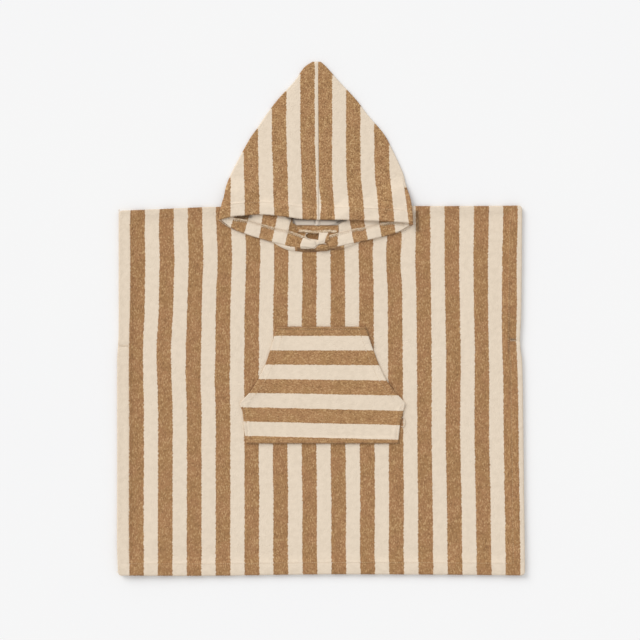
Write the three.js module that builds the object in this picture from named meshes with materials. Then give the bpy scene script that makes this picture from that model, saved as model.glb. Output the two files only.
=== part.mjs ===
// Hooded bath poncho for a child, striped terry, laid flat on its back with the hood drawn down over its opening.
// Millimetres: +X to the right as it lies, +Y towards the hood's peak, +Z up from the surface.
// Every piece is a cloth wall: a grid of points for one face, a grid for the other, and rims between their borders.
import * as THREE from 'three';

// Driving sizes
const BODY_WIDTH = 600;
const HALF_LENGTH = 378.5;
const CLOTH = 1.8;
const GAP = 0.3;
const FOLD_RISE = 1.2;
const HEM_WIDTH = 18.5;
const FACE_HEM = 18.5;
const SHOULDER_BAND = 8.5;
const SHOULDER_RISE = 0.9;
const CORNER_RADIUS = 5;
const EDGE_STEP = 1.2;
const EDGE_DROP = 0.5;

// Neck: one centre, one half width and two depths below the shoulder line
const NECK = { x: -4.2, halfWidth: 120, frontDepth: 60, backDepth: 27 };

// Body outline: the sides step in a little at the foot of each armhole
const SIDES = [
  { y: -HALF_LENGTH, left: -298.4, right: 300 },
  { y: -335, left: -300, right: 299.6 },
  { y: -200, left: -300, right: 298 },
  { y: -65, left: -300, right: 296 },
  { y: -45, left: -299.2, right: 293.6 },
  { y: -28, left: -298, right: 292.8 },
  { y: 0, left: -297.8, right: 294.4 },
  { y: 170, left: -297.8, right: 296 },
];
const SHOULDER = [
  { x: -300, y: 158.6 },
  { x: -240, y: 160.8 },
  { x: -165, y: 164 },
  { x: 0, y: 165.8 },
  { x: 200, y: 165.4 },
  { x: 300, y: 166.2 },
];
const HEM_LINE = [
  { x: -300, y: -378 },
  { x: -170, y: -HALF_LENGTH },
  { x: 0, y: -376.5 },
  { x: 150, y: -376.8 },
  { x: 300, y: -378 },
];

// Hood: how far each half reaches from the centre seam at each height, from the shoulders up to the peak
const HOOD_WIDTHS = [
  { y: 179, left: 140, right: 134 },
  { y: 190, left: 137.9, right: 130.3 },
  { y: 201, left: 134.6, right: 127.2 },
  { y: 212, left: 130, right: 124.8 },
  { y: 234, left: 118.6, right: 115.5 },
  { y: 256, left: 106.5, right: 105 },
  { y: 268, left: 99.4, right: 98.9 },
  { y: 278, left: 92, right: 91.6 },
  { y: 300, left: 77, right: 72.7 },
  { y: 322, left: 60.2, right: 56.2 },
  { y: 337, left: 46.4, right: 42.6 },
  { y: 352, left: 32.7, right: 28.5 },
  { y: 366, left: 23.6, right: 16.6 },
  { y: 372.5, left: 17.6, right: 10.6 },
  { y: HALF_LENGTH, left: 8, right: 4 },
];
const HOOD_FOOT = HOOD_WIDTHS[0];
const SEAM_LINE = { lowY: 145, lowX: -2.8, highY: HALF_LENGTH, highX: -4.6 };

// Face opening of each half, from the seam out to the side corner along the brim and back along the lip
const FACE = {
  left: {
    name: 'left',
    side: -1,
    brim: [[-2.95, 145.4], [-30, 147.6], [-70, 150.8], [-113, 151.4], [-136, 151.2], [-147.8, 147.2]],
    lip: [[-147.8, 147.2], [-130, 134.2], [-91, 118.4], [-50, 107], [-25, 102.6], [-2.63, 103.2]],
    rollX: 41,
  },
  right: {
    name: 'right',
    side: 1,
    brim: [[-2.65, 145.4], [30, 145.4], [65, 144.3], [100, 142.8], [128, 140.6], [135.2, 138.2]],
    lip: [[135.2, 138.2], [117, 128.5], [96, 121.8], [70, 116], [30, 107], [-2.33, 103.2]],
    rollX: 34,
  },
};

// Inner border of the under layer: down the seam, round the small lens of the neck hole, down the centre front
const INNER_BORDER = [
  { t: 0, out: 0, y: HOOD_FOOT.y },
  { t: 0.45, out: 0, y: 126.5 },
  { t: 0.54, out: 14, y: 126 },
  { t: 0.62, out: 21, y: 122.5 },
  { t: 0.71, out: 14, y: 117.8 },
  { t: 0.8, out: 0, y: 115 },
  { t: 1, out: 0, y: 103.2 },
];
const LOWER_ROWS = [0, 0.09, 0.18, 0.27, 0.36, 0.45, 0.54, 0.62, 0.71, 0.8, 0.9, 1];

// Hood layers: how far a layer keeps clear of steps below it, and how far apart the two layers lie
const REST_REACH = 11;
const COVER_REACH = 10;
const DRAPE_SLOPE = 0.3;
const LAYER_GAP = 0.35;
const HOOD_PUFF = { rise: 1.4, fullY: 239, innerShare: 0.2 };
const MOUTH = { gap: 3.6, from: 1, to: 8 };
const FOLD_BULGE = 1.2;

// Pocket outline, top edge first: hand openings down to the widest point, then the sewn sides
const POCKET = [
  { y: -12.5, left: -65.3, right: 65.3 },
  { y: -39, left: -72.3, right: 74 },
  { y: -67, left: -81.6, right: 84.6 },
  { y: -90.5, left: -92.9, right: 95.7 },
  { y: -108.5, left: -104.3, right: 108.5 },
  { y: -117.5, left: -113.5, right: 118 },
  { y: -124.5, left: -119.6, right: 123.8 },
  { y: -135, left: -118.1, right: 121.6 },
  { y: -154, left: -113.9, right: 116.4 },
  { y: -183.5, left: -110.6, right: 113.3 },
];
const [POCKET_TOP, POCKET_WIDEST, POCKET_FOOT] = [POCKET[0].y, POCKET[6].y, POCKET.at(-1).y];
const POCKET_FOLD = 8;
const POCKET_OPENING_HEM = 12;

const TAPE = { from: -36, to: 26, low: 136.8, high: 142.2, thick: 1 };

// Small helpers
const clamp = (value, low, high) => Math.min(Math.max(value, low), high);
const mix = (a, b, u) => a + (b - a) * u;
const ease = (from, to, value) => {
  const u = clamp((value - from) / (to - from), 0, 1);
  return u * u * (3 - 2 * u);
};

// A value read from a table with ascending keys, along a smooth curve through its rows
function read(table, key, column, at) {
  const last = table.length - 1;
  let i = 0;
  while (i < last - 1 && at > table[i + 1][key]) i += 1;
  const slope = (k) => {
    const before = table[Math.max(k - 1, 0)];
    const after = table[Math.min(k + 1, last)];
    return (after[column] - before[column]) / (after[key] - before[key]);
  };
  const from = table[i];
  const to = table[i + 1];
  const span = to[key] - from[key];
  const u = clamp((at - from[key]) / span, 0, 1);
  const straight = mix(from[column], to[column], u);
  const rise = (to[column] - from[column]) / span;
  const bend = (1 - u) * (slope(i) - rise) - u * (slope(i + 1) - rise);
  return straight + span * u * (1 - u) * bend;
}

// The same without smoothing, for outlines with corners
function readStraight(table, key, column, at) {
  let i = 0;
  while (i < table.length - 2 && (at - table[i + 1][key]) * (table[1][key] - table[0][key]) > 0) i += 1;
  const u = clamp((at - table[i][key]) / (table[i + 1][key] - table[i][key]), 0, 1);
  return mix(table[i][column], table[i + 1][column], u);
}

// Body outline
const leftEdge = (y) => read(SIDES, 'y', 'left', y);
const rightEdge = (y) => read(SIDES, 'y', 'right', y);
const sideDistance = (x, y) => Math.min(x - leftEdge(y), rightEdge(y) - x);

function cornerCut(x, y) {
  const inset = clamp(sideDistance(x, y), 0, CORNER_RADIUS);
  return CORNER_RADIUS - Math.sqrt(CORNER_RADIUS ** 2 - (CORNER_RADIUS - inset) ** 2);
}

const shoulderY = (x) => read(SHOULDER, 'x', 'y', x) - cornerCut(x, read(SHOULDER, 'x', 'y', x));
const hemY = (x) => read(HEM_LINE, 'x', 'y', x) + cornerCut(x, -HALF_LENGTH);

function panelTopEdge(x, neckDepth) {
  const across = (x - NECK.x) / NECK.halfWidth;
  return shoulderY(x) - neckDepth * Math.sqrt(Math.max(0, 1 - across * across));
}

// How much a folded edge thickens the cloth: 1 on the band, falling to 0 over the ramp
const band = (distance, width, ramp) => 1 - ease(width, width + ramp, distance);

function foldRise(x, y, ramp) {
  const hem = band(Math.min(sideDistance(x, y), y - hemY(x)), HEM_WIDTH, ramp);
  const shoulder = band(shoulderY(x) - y, SHOULDER_BAND, ramp);
  return Math.max(FOLD_RISE * hem, SHOULDER_RISE * shoulder);
}

const FOLD_RAMP = 3;
const FRONT_RAMP = 12;
const backTop = (x, y) => CLOTH + foldRise(x, y, FOLD_RAMP);
const frontUnder = (x, y) => GAP + CLOTH + foldRise(x, y, FRONT_RAMP);
const frontTop = (x, y) => frontUnder(x, y) + CLOTH + foldRise(x, y, FRONT_RAMP);

// The highest face of the body at a point, 0 beside it
function bodyTop(x, y) {
  if (sideDistance(x, y) < 0 || y < hemY(x) || y > panelTopEdge(x, NECK.backDepth)) return 0;
  if (y > panelTopEdge(x, NECK.frontDepth)) return backTop(x, y);
  return frontTop(x, y);
}

// Heights under the hood are kept on a square net of points, from which a layer above takes its rest
const NET = { step: 3, left: -168, low: 84, columns: 110, rows: 101 };

function net(heightOf) {
  return Array.from({ length: NET.rows }, (_, r) => Array.from({ length: NET.columns }, (__, c) => (
    heightOf(NET.left + c * NET.step, NET.low + r * NET.step)
  )));
}

function onNet(heights, x, y) {
  const c = clamp((x - NET.left) / NET.step, 0, NET.columns - 1.001);
  const r = clamp((y - NET.low) / NET.step, 0, NET.rows - 1.001);
  const [c0, r0] = [Math.floor(c), Math.floor(r)];
  const low = mix(heights[r0][c0], heights[r0][c0 + 1], c - c0);
  const high = mix(heights[r0 + 1][c0], heights[r0 + 1][c0 + 1], c - c0);
  return mix(low, high, r - r0);
}

// Cloth over a step stays level for a reach beyond it and then comes down at a steady slope
function drapeOver(heights, reach) {
  const span = Math.ceil((reach + Math.max(...heights.flat()) / DRAPE_SLOPE) / NET.step);
  return heights.map((row, r) => row.map((height, c) => {
    let high = height;
    for (let dr = -span; dr <= span; dr += 1) {
      const near = heights[r + dr];
      if (!near) continue;
      for (let dc = -span; dc <= span; dc += 1) {
        const away = Math.max(0, Math.hypot(dr, dc) * NET.step - reach);
        high = Math.max(high, (near[c + dc] ?? 0) - DRAPE_SLOPE * away);
      }
    }
    return high;
  }));
}

// A closed wall between two grids of points with the same rows and columns
function wall(name, faceA, faceB, material) {
  const rows = faceA.length;
  const columns = faceA[0].length;
  const positions = [...faceA.flat(), ...faceB.flat()].flat();
  const a = (r, c) => r * columns + c;
  const b = (r, c) => (rows + r) * columns + c;
  const triangles = [];
  const quad = (p, q, r, s) => triangles.push([p, q, r], [p, r, s]);
  for (let r = 0; r < rows - 1; r += 1) {
    for (let c = 0; c < columns - 1; c += 1) {
      quad(a(r, c), a(r, c + 1), a(r + 1, c + 1), a(r + 1, c));
      quad(b(r, c), b(r + 1, c), b(r + 1, c + 1), b(r, c + 1));
    }
    quad(a(r, 0), a(r + 1, 0), b(r + 1, 0), b(r, 0));
    quad(a(r, columns - 1), b(r, columns - 1), b(r + 1, columns - 1), a(r + 1, columns - 1));
  }
  for (let c = 0; c < columns - 1; c += 1) {
    quad(a(0, c), b(0, c), b(0, c + 1), a(0, c + 1));
    quad(a(rows - 1, c), a(rows - 1, c + 1), b(rows - 1, c + 1), b(rows - 1, c));
  }
  const point = (i) => positions.slice(3 * i, 3 * i + 3);
  const volume = triangles.reduce((sum, [p, q, r]) => {
    const [px, py, pz] = point(p);
    const [qx, qy, qz] = point(q);
    const [rx, ry, rz] = point(r);
    return sum + px * (qy * rz - qz * ry) + py * (qz * rx - qx * rz) + pz * (qx * ry - qy * rx);
  }, 0);
  if (volume < 0) triangles.forEach((triangle) => triangle.reverse());
  const geometry = new THREE.BufferGeometry();
  geometry.setAttribute('position', new THREE.Float32BufferAttribute(positions, 3));
  geometry.setIndex(triangles.flat());
  geometry.computeVertexNormals();
  const mesh = new THREE.Mesh(geometry, material);
  mesh.name = name;
  return mesh;
}

// Materials: cream and tan terry by the stripes' mean colour, plain twill for the tape
const cloth = (color) => new THREE.MeshStandardMaterial({ color, roughness: 0.95, metalness: 0 });
const STRIPED_TERRY = 0xcdb394;
const CREAM_TWILL = 0xd9cdbd;

// Panel grid: columns at set distances from the sides and closer together round the neck
const EDGE_COLUMNS = [0, EDGE_STEP, CORNER_RADIUS, HEM_WIDTH - 1, HEM_WIDTH + FOLD_RAMP, HEM_WIDTH + FRONT_RAMP];
const NECK_COLUMNS = 16;
const BROAD = { first: 150, step: 40, clear: 40 };
const TOP_ROWS = [20, SHOULDER_BAND + FOLD_RAMP, SHOULDER_BAND, EDGE_STEP, 0];
const FOOT_ROWS = [0, EDGE_STEP, HEM_WIDTH - 1, HEM_WIDTH + FOLD_RAMP, HEM_WIDTH + FRONT_RAMP];
const MIDDLE_ROWS = [-280, -210, -140, -70, -52, -38, -24, 20, 70];

function panelColumns() {
  const half = BODY_WIDTH / 2;
  const columns = EDGE_COLUMNS.flatMap((inset) => [-half + inset, half - inset]);
  for (let x = BROAD.first; x < half - BROAD.clear; x += BROAD.step) columns.push(-x, x);
  for (let k = 0; k <= NECK_COLUMNS; k += 1) {
    columns.push(NECK.x + NECK.halfWidth * Math.sin(Math.PI * (k / NECK_COLUMNS - 0.5)));
  }
  return columns.sort((p, q) => p - q);
}

// A column's place at a height: the outline's sides are not quite straight
function columnX(nominal, y) {
  const half = BODY_WIDTH / 2;
  const inset = half - Math.abs(nominal);
  if (inset <= HEM_WIDTH + FRONT_RAMP) return nominal < 0 ? leftEdge(y) + inset : rightEdge(y) - inset;
  return nominal;
}

function panelFace(neckDepth, heightOf) {
  const columns = panelColumns();
  const rowCount = FOOT_ROWS.length + MIDDLE_ROWS.length + TOP_ROWS.length;
  const heightRow = (r, x) => {
    if (r < FOOT_ROWS.length) return hemY(x) + FOOT_ROWS[r];
    if (r < FOOT_ROWS.length + MIDDLE_ROWS.length) return MIDDLE_ROWS[r - FOOT_ROWS.length];
    return panelTopEdge(x, neckDepth) - TOP_ROWS[r - FOOT_ROWS.length - MIDDLE_ROWS.length];
  };
  return Array.from({ length: rowCount }, (_, r) => columns.map((nominal) => {
    const guess = heightRow(r, nominal);
    const x = columnX(nominal, guess);
    const y = heightRow(r, x);
    return [x, y, heightOf(x, y)];
  }));
}

// The top face falls away a little at the outer rim
function rimDrop(x, y) {
  const inset = Math.min(sideDistance(x, y), y - hemY(x), shoulderY(x) - y);
  return EDGE_DROP * (1 - clamp(inset / EDGE_STEP, 0, 1));
}

function backPanel() {
  const top = panelFace(NECK.backDepth, (x, y) => backTop(x, y) - rimDrop(x, y));
  const under = panelFace(NECK.backDepth, () => 0);
  return wall('back_panel', top, under, cloth(STRIPED_TERRY));
}

function frontPanel() {
  const top = panelFace(NECK.frontDepth, (x, y) => frontTop(x, y) - rimDrop(x, y));
  const under = panelFace(NECK.frontDepth, (x, y) => frontUnder(x, y));
  return wall('front_panel', top, under, cloth(STRIPED_TERRY));
}

// Hood heights
const restHeights = drapeOver(net(bodyTop), REST_REACH);

function hoodUnder(x, y) {
  const rest = onNet(restHeights, x, y);
  return rest + Math.min(rest, GAP);
}

// The face edge is a folded hem all round: extra thickness along the brim and along the lip
const hemAlong = (path, x, y) => FOLD_RISE * band(y - readStraight(path, 0, 1, x), FACE_HEM, FOLD_RAMP);

function seamX(y) {
  const u = (y - SEAM_LINE.lowY) / (SEAM_LINE.highY - SEAM_LINE.lowY);
  return mix(SEAM_LINE.lowX, SEAM_LINE.highX, u);
}

// Outside the roll the cloth lies double over the neck hole and comes level with the cloth on the front panel
const LIP_LEVEL = 3 * CLOTH + 2 * GAP;
const ROLL_RAMP = 3;
const LIP_TOP_Y = 150;
const SHOULDER_LEVEL_Y = 166;

function lipFace(half, x, y) {
  const out = half.side * (x - seamX(y));
  const lip = ease(half.rollX - ROLL_RAMP, half.rollX + ROLL_RAMP, out) * (1 - ease(LIP_TOP_Y, SHOULDER_LEVEL_Y, y));
  const plain = hoodUnder(x, y) + CLOTH;
  return Math.max(plain, mix(plain, LIP_LEVEL, lip)) + hemAlong(half.lip, x, y);
}

const hoodWidth = (half, y) => read(HOOD_WIDTHS, 'y', half.name, Math.max(y, HOOD_FOOT.y));

// The top layer's lower face: clear of all that lies under it, with a slight swell towards the seam
function coverUnder(half, x, y) {
  const out = Math.abs(x - seamX(y));
  const puff = HOOD_PUFF.rise * ease(1, HOOD_PUFF.innerShare, out / hoodWidth(half, y))
    * ease(HALF_LENGTH, HOOD_PUFF.fullY, y);
  return onNet(half.coverHeights, x, y) + LAYER_GAP + puff;
}

for (const half of [FACE.left, FACE.right]) {
  half.coverHeights = drapeOver(net((x, y) => lipFace(half, x, y)), COVER_REACH);
}

// The under layer's upper face: behind the brim the hidden folds fill it up to the mouth's gap
function underFace(half, x, y) {
  const behind = y - readStraight(half.brim, 0, 1, x);
  const filled = (coverUnder(half, x, y) - MOUTH.gap) * ease(MOUTH.from, MOUTH.to, behind);
  return Math.max(lipFace(half, x, y), filled);
}

// A point inside four border curves, blended from opposite pairs
function blendPatch(rowStart, rowEnd, columnStart, columnEnd, s, t) {
  const corner = (p, q, r, w) => (1 - s) * (1 - t) * p + s * (1 - t) * q + (1 - s) * t * r + s * t * w;
  return [0, 1].map((axis) => {
    const rows = mix(rowStart(s)[axis], rowEnd(s)[axis], t);
    const columns = mix(columnStart(t)[axis], columnEnd(t)[axis], s);
    const corners = corner(rowStart(0)[axis], rowStart(1)[axis], rowEnd(0)[axis], rowEnd(1)[axis]);
    return rows + columns - corners;
  });
}

function smoothPath(points) {
  const curve = new THREE.SplineCurve(points.map(([x, y]) => new THREE.Vector2(x, y)));
  return (u) => curve.getPointAt(clamp(u, 0, 1)).toArray();
}

const TOP_COLUMNS = 11;
const UNDER_COLUMNS = 15;
const FOLD_ANGLES = [45, 0, -45];
const UPPER_ROWS = [HALF_LENGTH, 372.5, 366, 352, 337, 322, 300, 278, 267, 256, 234, 212, 201, 189];

// One row of a half: plan points of the top layer, the fold point and plan points of the under layer
function upperRow(half, y) {
  const start = [seamX(y) + half.side * GAP / 2, y];
  const fold = [seamX(y) + half.side * hoodWidth(half, y), y];
  const along = (from, to) => (s) => [mix(from[0], to[0], s), mix(from[1], to[1], s)];
  return { fold, top: (inset) => along(start, inset), under: (inset) => along(inset, start) };
}

function lowerRow(half, t) {
  const brim = smoothPath(half.brim);
  const lip = smoothPath(half.lip);
  const corner = half.brim.at(-1);
  const seam = (y) => [seamX(y) + half.side * GAP / 2, y];
  const foot = seam(HOOD_FOOT.y);
  const shoulder = [seamX(HOOD_FOOT.y) + half.side * HOOD_FOOT[half.name], HOOD_FOOT.y];
  const bulge = 4 * t * (1 - t) * FOLD_BULGE * half.side;
  const fold = [mix(shoulder[0], corner[0], t) + bulge, mix(shoulder[1], corner[1], t)];
  const row = (from, to) => (s) => [mix(from[0], to[0], s), mix(from[1], to[1], s)];
  const border = (u) => {
    const y = readStraight(INNER_BORDER, 't', 'y', u);
    return [seam(y)[0] + half.side * readStraight(INNER_BORDER, 't', 'out', u), y];
  };
  const foldLine = (u) => [mix(shoulder[0], corner[0], u), mix(shoulder[1], corner[1], u)];
  const seamSide = (u) => seam(mix(HOOD_FOOT.y, half.brim[0][1], u));
  const topPlan = (s) => blendPatch(row(foot, shoulder), brim, seamSide, foldLine, s, t);
  const underPlan = (s) => blendPatch(row(shoulder, foot), lip, foldLine, border, s, t);
  const shifted = (plan, reach) => (inset) => (s) => {
    const [x, y] = plan(s);
    const share = reach(s);
    return [x + (inset[0] - foldLine(t)[0]) * share, y];
  };
  return {
    fold,
    top: shifted(topPlan, (s) => s ** 3),
    under: shifted(underPlan, (s) => (1 - s) ** 3),
  };
}

function hoodRing(half, row) {
  const { fold } = row;
  const hem = hemAlong(half.lip, ...fold);
  const foldUnder = hoodUnder(...fold);
  const foldTop = Math.max(coverUnder(half, ...fold) + CLOTH + hem, foldUnder + 2 * (CLOTH + hem) + LAYER_GAP);
  const radius = (foldTop - foldUnder) / 2;
  const innerRadius = clamp(radius - CLOTH - hem, LAYER_GAP / 2, MOUTH.gap / 2);
  const inset = [fold[0] - half.side * radius, fold[1]];
  const outer = [];
  const inner = [];
  for (let k = 0; k <= TOP_COLUMNS; k += 1) {
    const [x, y] = row.top(inset)(k / TOP_COLUMNS);
    const thick = CLOTH + hemAlong(half.brim, x, y);
    const atFold = k === TOP_COLUMNS;
    const under = coverUnder(half, x, y);
    outer.push([x, y, atFold ? foldTop : under + thick]);
    inner.push([x, y, atFold ? foldUnder + radius + innerRadius : under]);
  }
  for (const angle of FOLD_ANGLES) {
    const turn = THREE.MathUtils.degToRad(angle);
    for (const [ring, r] of [[outer, radius], [inner, innerRadius]]) {
      const z = foldUnder + radius + r * Math.sin(turn);
      ring.push([inset[0] + half.side * r * Math.cos(turn), inset[1], z]);
    }
  }
  for (let k = 0; k <= UNDER_COLUMNS; k += 1) {
    const [x, y] = row.under(inset)(k / UNDER_COLUMNS);
    const atFold = k === 0;
    outer.push([x, y, atFold ? foldUnder : hoodUnder(x, y)]);
    inner.push([x, y, atFold ? foldUnder + radius - innerRadius : underFace(half, x, y)]);
  }
  return { outer, inner };
}

function hoodHalf(name, half) {
  const rows = [
    ...UPPER_ROWS.map((y) => upperRow(half, y)),
    ...LOWER_ROWS.map((t) => lowerRow(half, t)),
  ];
  const rings = rows.map((row) => hoodRing(half, row));
  return wall(name, rings.map((ring) => ring.outer), rings.map((ring) => ring.inner), cloth(STRIPED_TERRY));
}

// Pocket: made from the front panel's points, moved up, thicker where its edges are turned under
const POCKET_COLUMNS = [0, EDGE_STEP, POCKET_FOLD, POCKET_OPENING_HEM + 2, 26, 44];
const POCKET_END_ROWS = [0, EDGE_STEP, POCKET_FOLD, POCKET_FOLD + FOLD_RAMP];

function pocketRise(x, y) {
  const inset = Math.min(
    x - readStraight(POCKET, 'y', 'left', y),
    readStraight(POCKET, 'y', 'right', y) - x,
  );
  const side = band(inset, y > POCKET_WIDEST ? POCKET_OPENING_HEM : POCKET_FOLD, FOLD_RAMP);
  const ends = band(Math.min(POCKET_TOP - y, y - POCKET_FOOT), POCKET_FOLD, FOLD_RAMP);
  return FOLD_RISE * Math.max(side, ends);
}

function pocketFace(heightOf) {
  const rows = [
    ...POCKET_END_ROWS.map((inset) => POCKET_TOP - inset),
    ...POCKET.slice(1, -1).map((row) => row.y),
    ...POCKET_END_ROWS.map((inset) => POCKET_FOOT + inset).reverse(),
  ];
  return rows.map((y) => {
    const left = readStraight(POCKET, 'y', 'left', y);
    const right = readStraight(POCKET, 'y', 'right', y);
    const xs = [
      ...POCKET_COLUMNS.map((inset) => left + inset),
      (left + right) / 2,
      ...POCKET_COLUMNS.map((inset) => right - inset).reverse(),
    ];
    return xs.map((x) => [x, y, heightOf(x, y)]);
  });
}

function pocket() {
  const under = (x, y) => frontTop(x, y) + GAP;
  const top = pocketFace((x, y) => under(x, y) + CLOTH + pocketRise(x, y));
  return wall('pocket', top, pocketFace(under), cloth(STRIPED_TERRY));
}

// Neck tape: a narrow strip across the back neck seam, on the inner face of the hood
function neckTape() {
  const columns = 8;
  const rows = [TAPE.low, (TAPE.low + TAPE.high) / 2, TAPE.high];
  const level = hoodUnder(NECK.x, TAPE.low) + CLOTH + GAP;
  const face = (z) => rows.map((y) => Array.from({ length: columns + 1 }, (_, k) => (
    [mix(TAPE.from, TAPE.to, k / columns), y, z]
  )));
  return wall('neck_tape', face(level + TAPE.thick), face(level), cloth(CREAM_TWILL));
}

const poncho = new THREE.Group();
poncho.add(
  backPanel(),
  frontPanel(),
  hoodHalf('hood_left', FACE.left),
  hoodHalf('hood_right', FACE.right),
  pocket(),
  neckTape(),
);

export default poncho;
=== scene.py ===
"""Hooded bath poncho in striped terry, laid flat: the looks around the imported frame.

Sizes are in millimetres, in the frame's own axes, and become metres where a mesh is made.
"""
import math

import bpy
import numpy as np
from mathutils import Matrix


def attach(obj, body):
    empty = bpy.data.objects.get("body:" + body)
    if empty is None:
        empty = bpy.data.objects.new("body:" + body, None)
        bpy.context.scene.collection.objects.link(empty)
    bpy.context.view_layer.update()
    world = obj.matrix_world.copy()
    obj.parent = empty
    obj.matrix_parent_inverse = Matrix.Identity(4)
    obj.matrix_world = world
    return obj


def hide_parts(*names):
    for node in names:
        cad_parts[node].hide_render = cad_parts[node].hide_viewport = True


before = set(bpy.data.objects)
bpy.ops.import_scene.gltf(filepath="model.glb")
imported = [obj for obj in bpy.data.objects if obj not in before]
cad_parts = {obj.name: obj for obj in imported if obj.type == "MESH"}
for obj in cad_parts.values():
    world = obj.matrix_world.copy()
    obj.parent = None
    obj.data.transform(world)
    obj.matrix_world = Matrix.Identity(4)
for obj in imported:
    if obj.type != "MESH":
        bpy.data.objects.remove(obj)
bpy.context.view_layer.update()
MM = 0.001

# Driving sizes
HALF_WIDTH = 300.0
HALF_LENGTH = 378.5
CLOTH = 1.8
GAP = 0.3
FOLD_RISE = 1.2
HEM_WIDTH = 18.5
BRIM_HEM = 18.5
SHOULDER_BAND = 8.5
SHOULDER_RISE = 0.9
CORNER_RADIUS = 5.0
STRIPE_PERIOD = 42.2
NECK = {"x": -4.2, "half_width": 120.0, "front_depth": 60.0, "back_depth": 27.0}


def table(names, *rows):
    """A short table as named columns of numbers."""
    return dict(zip(names.split(), np.array(rows, float).T))


# Body outline
SIDES = table(
    "y left right",
    (-378.5, -298.4, 300),
    (-335, -300, 299.6),
    (-200, -300, 298),
    (-65, -300, 296),
    (-45, -299.2, 293.6),
    (-28, -298, 292.8),
    (0, -297.8, 294.4),
    (170, -297.8, 296),
)
SHOULDER = table("x y", (-300, 158.6), (-240, 160.8), (-165, 164), (0, 165.8), (200, 165.4), (300, 166.2))
HEM_LINE = table("x y", (-300, -378), (-170, -378.5), (0, -376.5), (150, -376.8), (300, -378))

# Hood: how far each half reaches from the centre seam at each height
HOOD_WIDTHS = table(
    "y left right",
    (179, 140, 134),
    (190, 137.9, 130.3),
    (201, 134.6, 127.2),
    (212, 130, 124.8),
    (234, 118.6, 115.5),
    (256, 106.5, 105),
    (268, 99.4, 98.9),
    (278, 92, 91.6),
    (300, 77, 72.7),
    (322, 60.2, 56.2),
    (337, 46.4, 42.6),
    (352, 32.7, 28.5),
    (366, 23.6, 16.6),
    (372.5, 17.6, 10.6),
    (378.5, 8, 4),
)
HOOD_FOOT_Y = 179.0
SEAM_LINE = {"low_y": 145.0, "low_x": -2.8, "high_y": 378.5, "high_x": -4.6}
# How far apart the halves lie at the seam, and the soft dip it lies in:
# its depth on the outer face and the share of it on the inner
SEAM_GAP = 0.1
SEAM_DIP = {"half": 3.2, "depth": 0.35, "inner_share": 0.6}

# Face opening of each half: the brim from the seam outwards,
# the lip from the corner back to the centre front, and
# the line where the cloth rolls down into the neck
LEFT = {
    "name": "left",
    "side": -1,
    "brim": table(
        "x y",
        (-2.85, 145.4),
        (-27, 146.4),
        (-48.6, 149.4),
        (-70, 152.2),
        (-90, 153.4),
        (-113, 151.8),
        (-131, 150.2),
        (-150.4, 145.2),
    ),
    "lip": table(
        "x y",
        (-150.4, 145.2),
        (-133.4, 133.4),
        (-112, 124.8),
        (-91, 118.2),
        (-50, 107),
        (-25, 102.6),
        (-2.53, 103.2),
    ),
    "roll": table(
        "y out",
        (100, 49), (122, 48), (129, 44.4), (134, 41.9), (142.3, 41.9), (150, 45.9), (170, 51),
    ),
    "hole_end": 20.0,
}
RIGHT = {
    "name": "right",
    "side": 1,
    "brim": table(
        "x y",
        (-2.75, 145.4), (30, 145.4), (65, 144.3), (100, 142.8), (128, 140.6), (135.2, 138.2),
    ),
    "lip": table("x y", (135.2, 138.2), (117, 128.5), (96, 121.8), (70, 116), (30, 107), (-2.43, 103.2)),
    "roll": table(
        "y out",
        (100, 25.6), (126, 26.1), (136.4, 27.6), (141, 32.6), (145.3, 38.1), (150, 42.6), (170, 49),
    ),
    "hole_end": 14.6,
}

# Inner border of the under layer: down the seam, round the lens of the neck hole, down the centre front
INNER_BORDER = table(
    "t out y",
    (0, 0, 179),
    (0.45, 0, 126.5),
    (0.54, 0.7, 126.1),
    (0.6, 0.96, 124),
    (0.64, 1, 121),
    (0.7, 0.8, 117.6),
    (0.8, 0, 115),
    (1, 0, 103.2),
)

# How hood layers lie on what is below them
REST_REACH = 11.0
COVER_REACH = 10.0
DRAPE_SLOPE = 0.3
LAYER_GAP = 0.35
HOOD_PUFF = {"rise": 1.4, "full_y": 239.0, "inner_share": 0.2}
HOOD_WAVES = {"none_y": 138.0, "full_y": 175.0, "full_share": 0.75}
MOUTH = {"gap": 3.6, "from": 1.0, "to": 8.0}
FOLD_BULGE = 1.2
BRIM_ARCH = {"rise": 1.6, "half": 42.0, "reach": 26.0}
BRIM_GROOVE = {"half": 2.2, "depth": 0.2}
LIP_LEVEL = 3 * CLOTH + 2 * GAP
ROLL_RAMP = 2.0
LIP_TOP_Y = 150.0
SHOULDER_LEVEL_Y = 166.0
# Curl of the lip's cloth just outside the line where it rolls into the neck
CURL = {"rise": 0.9, "out": 4.0, "half": 4.5, "low_y": 118.0, "full_y": 128.0, "top_y": LIP_TOP_Y - 6}

# Pocket outline, top edge first
POCKET = table(
    "y left right",
    (-12.5, -65.3, 65.3),
    (-39, -72.3, 74),
    (-67, -81.6, 84.6),
    (-90.5, -92.9, 95.7),
    (-108.5, -104.3, 108.5),
    (-117.5, -113.5, 118),
    (-124.5, -119.6, 123.8),
    (-131, -118, 122.4),
    (-136, -115.6, 121.2),
    (-154, -113.7, 116.4),
    (-183.5, -110.6, 113.3),
)
POCKET_TOP = -12.5
POCKET_WIDEST = -124.5
POCKET_FOOT = -183.5
POCKET_FOLD = 8.0
POCKET_OPENING_HEM = 12.0
POCKET_SEWN = 3.8
POCKET_FOOT_SEWN = 5.0
POCKET_GROOVE = {"half": 2.0, "sides": 0.6, "foot": 0.35, "top": 1.4, "opening": 0.12}
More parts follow.
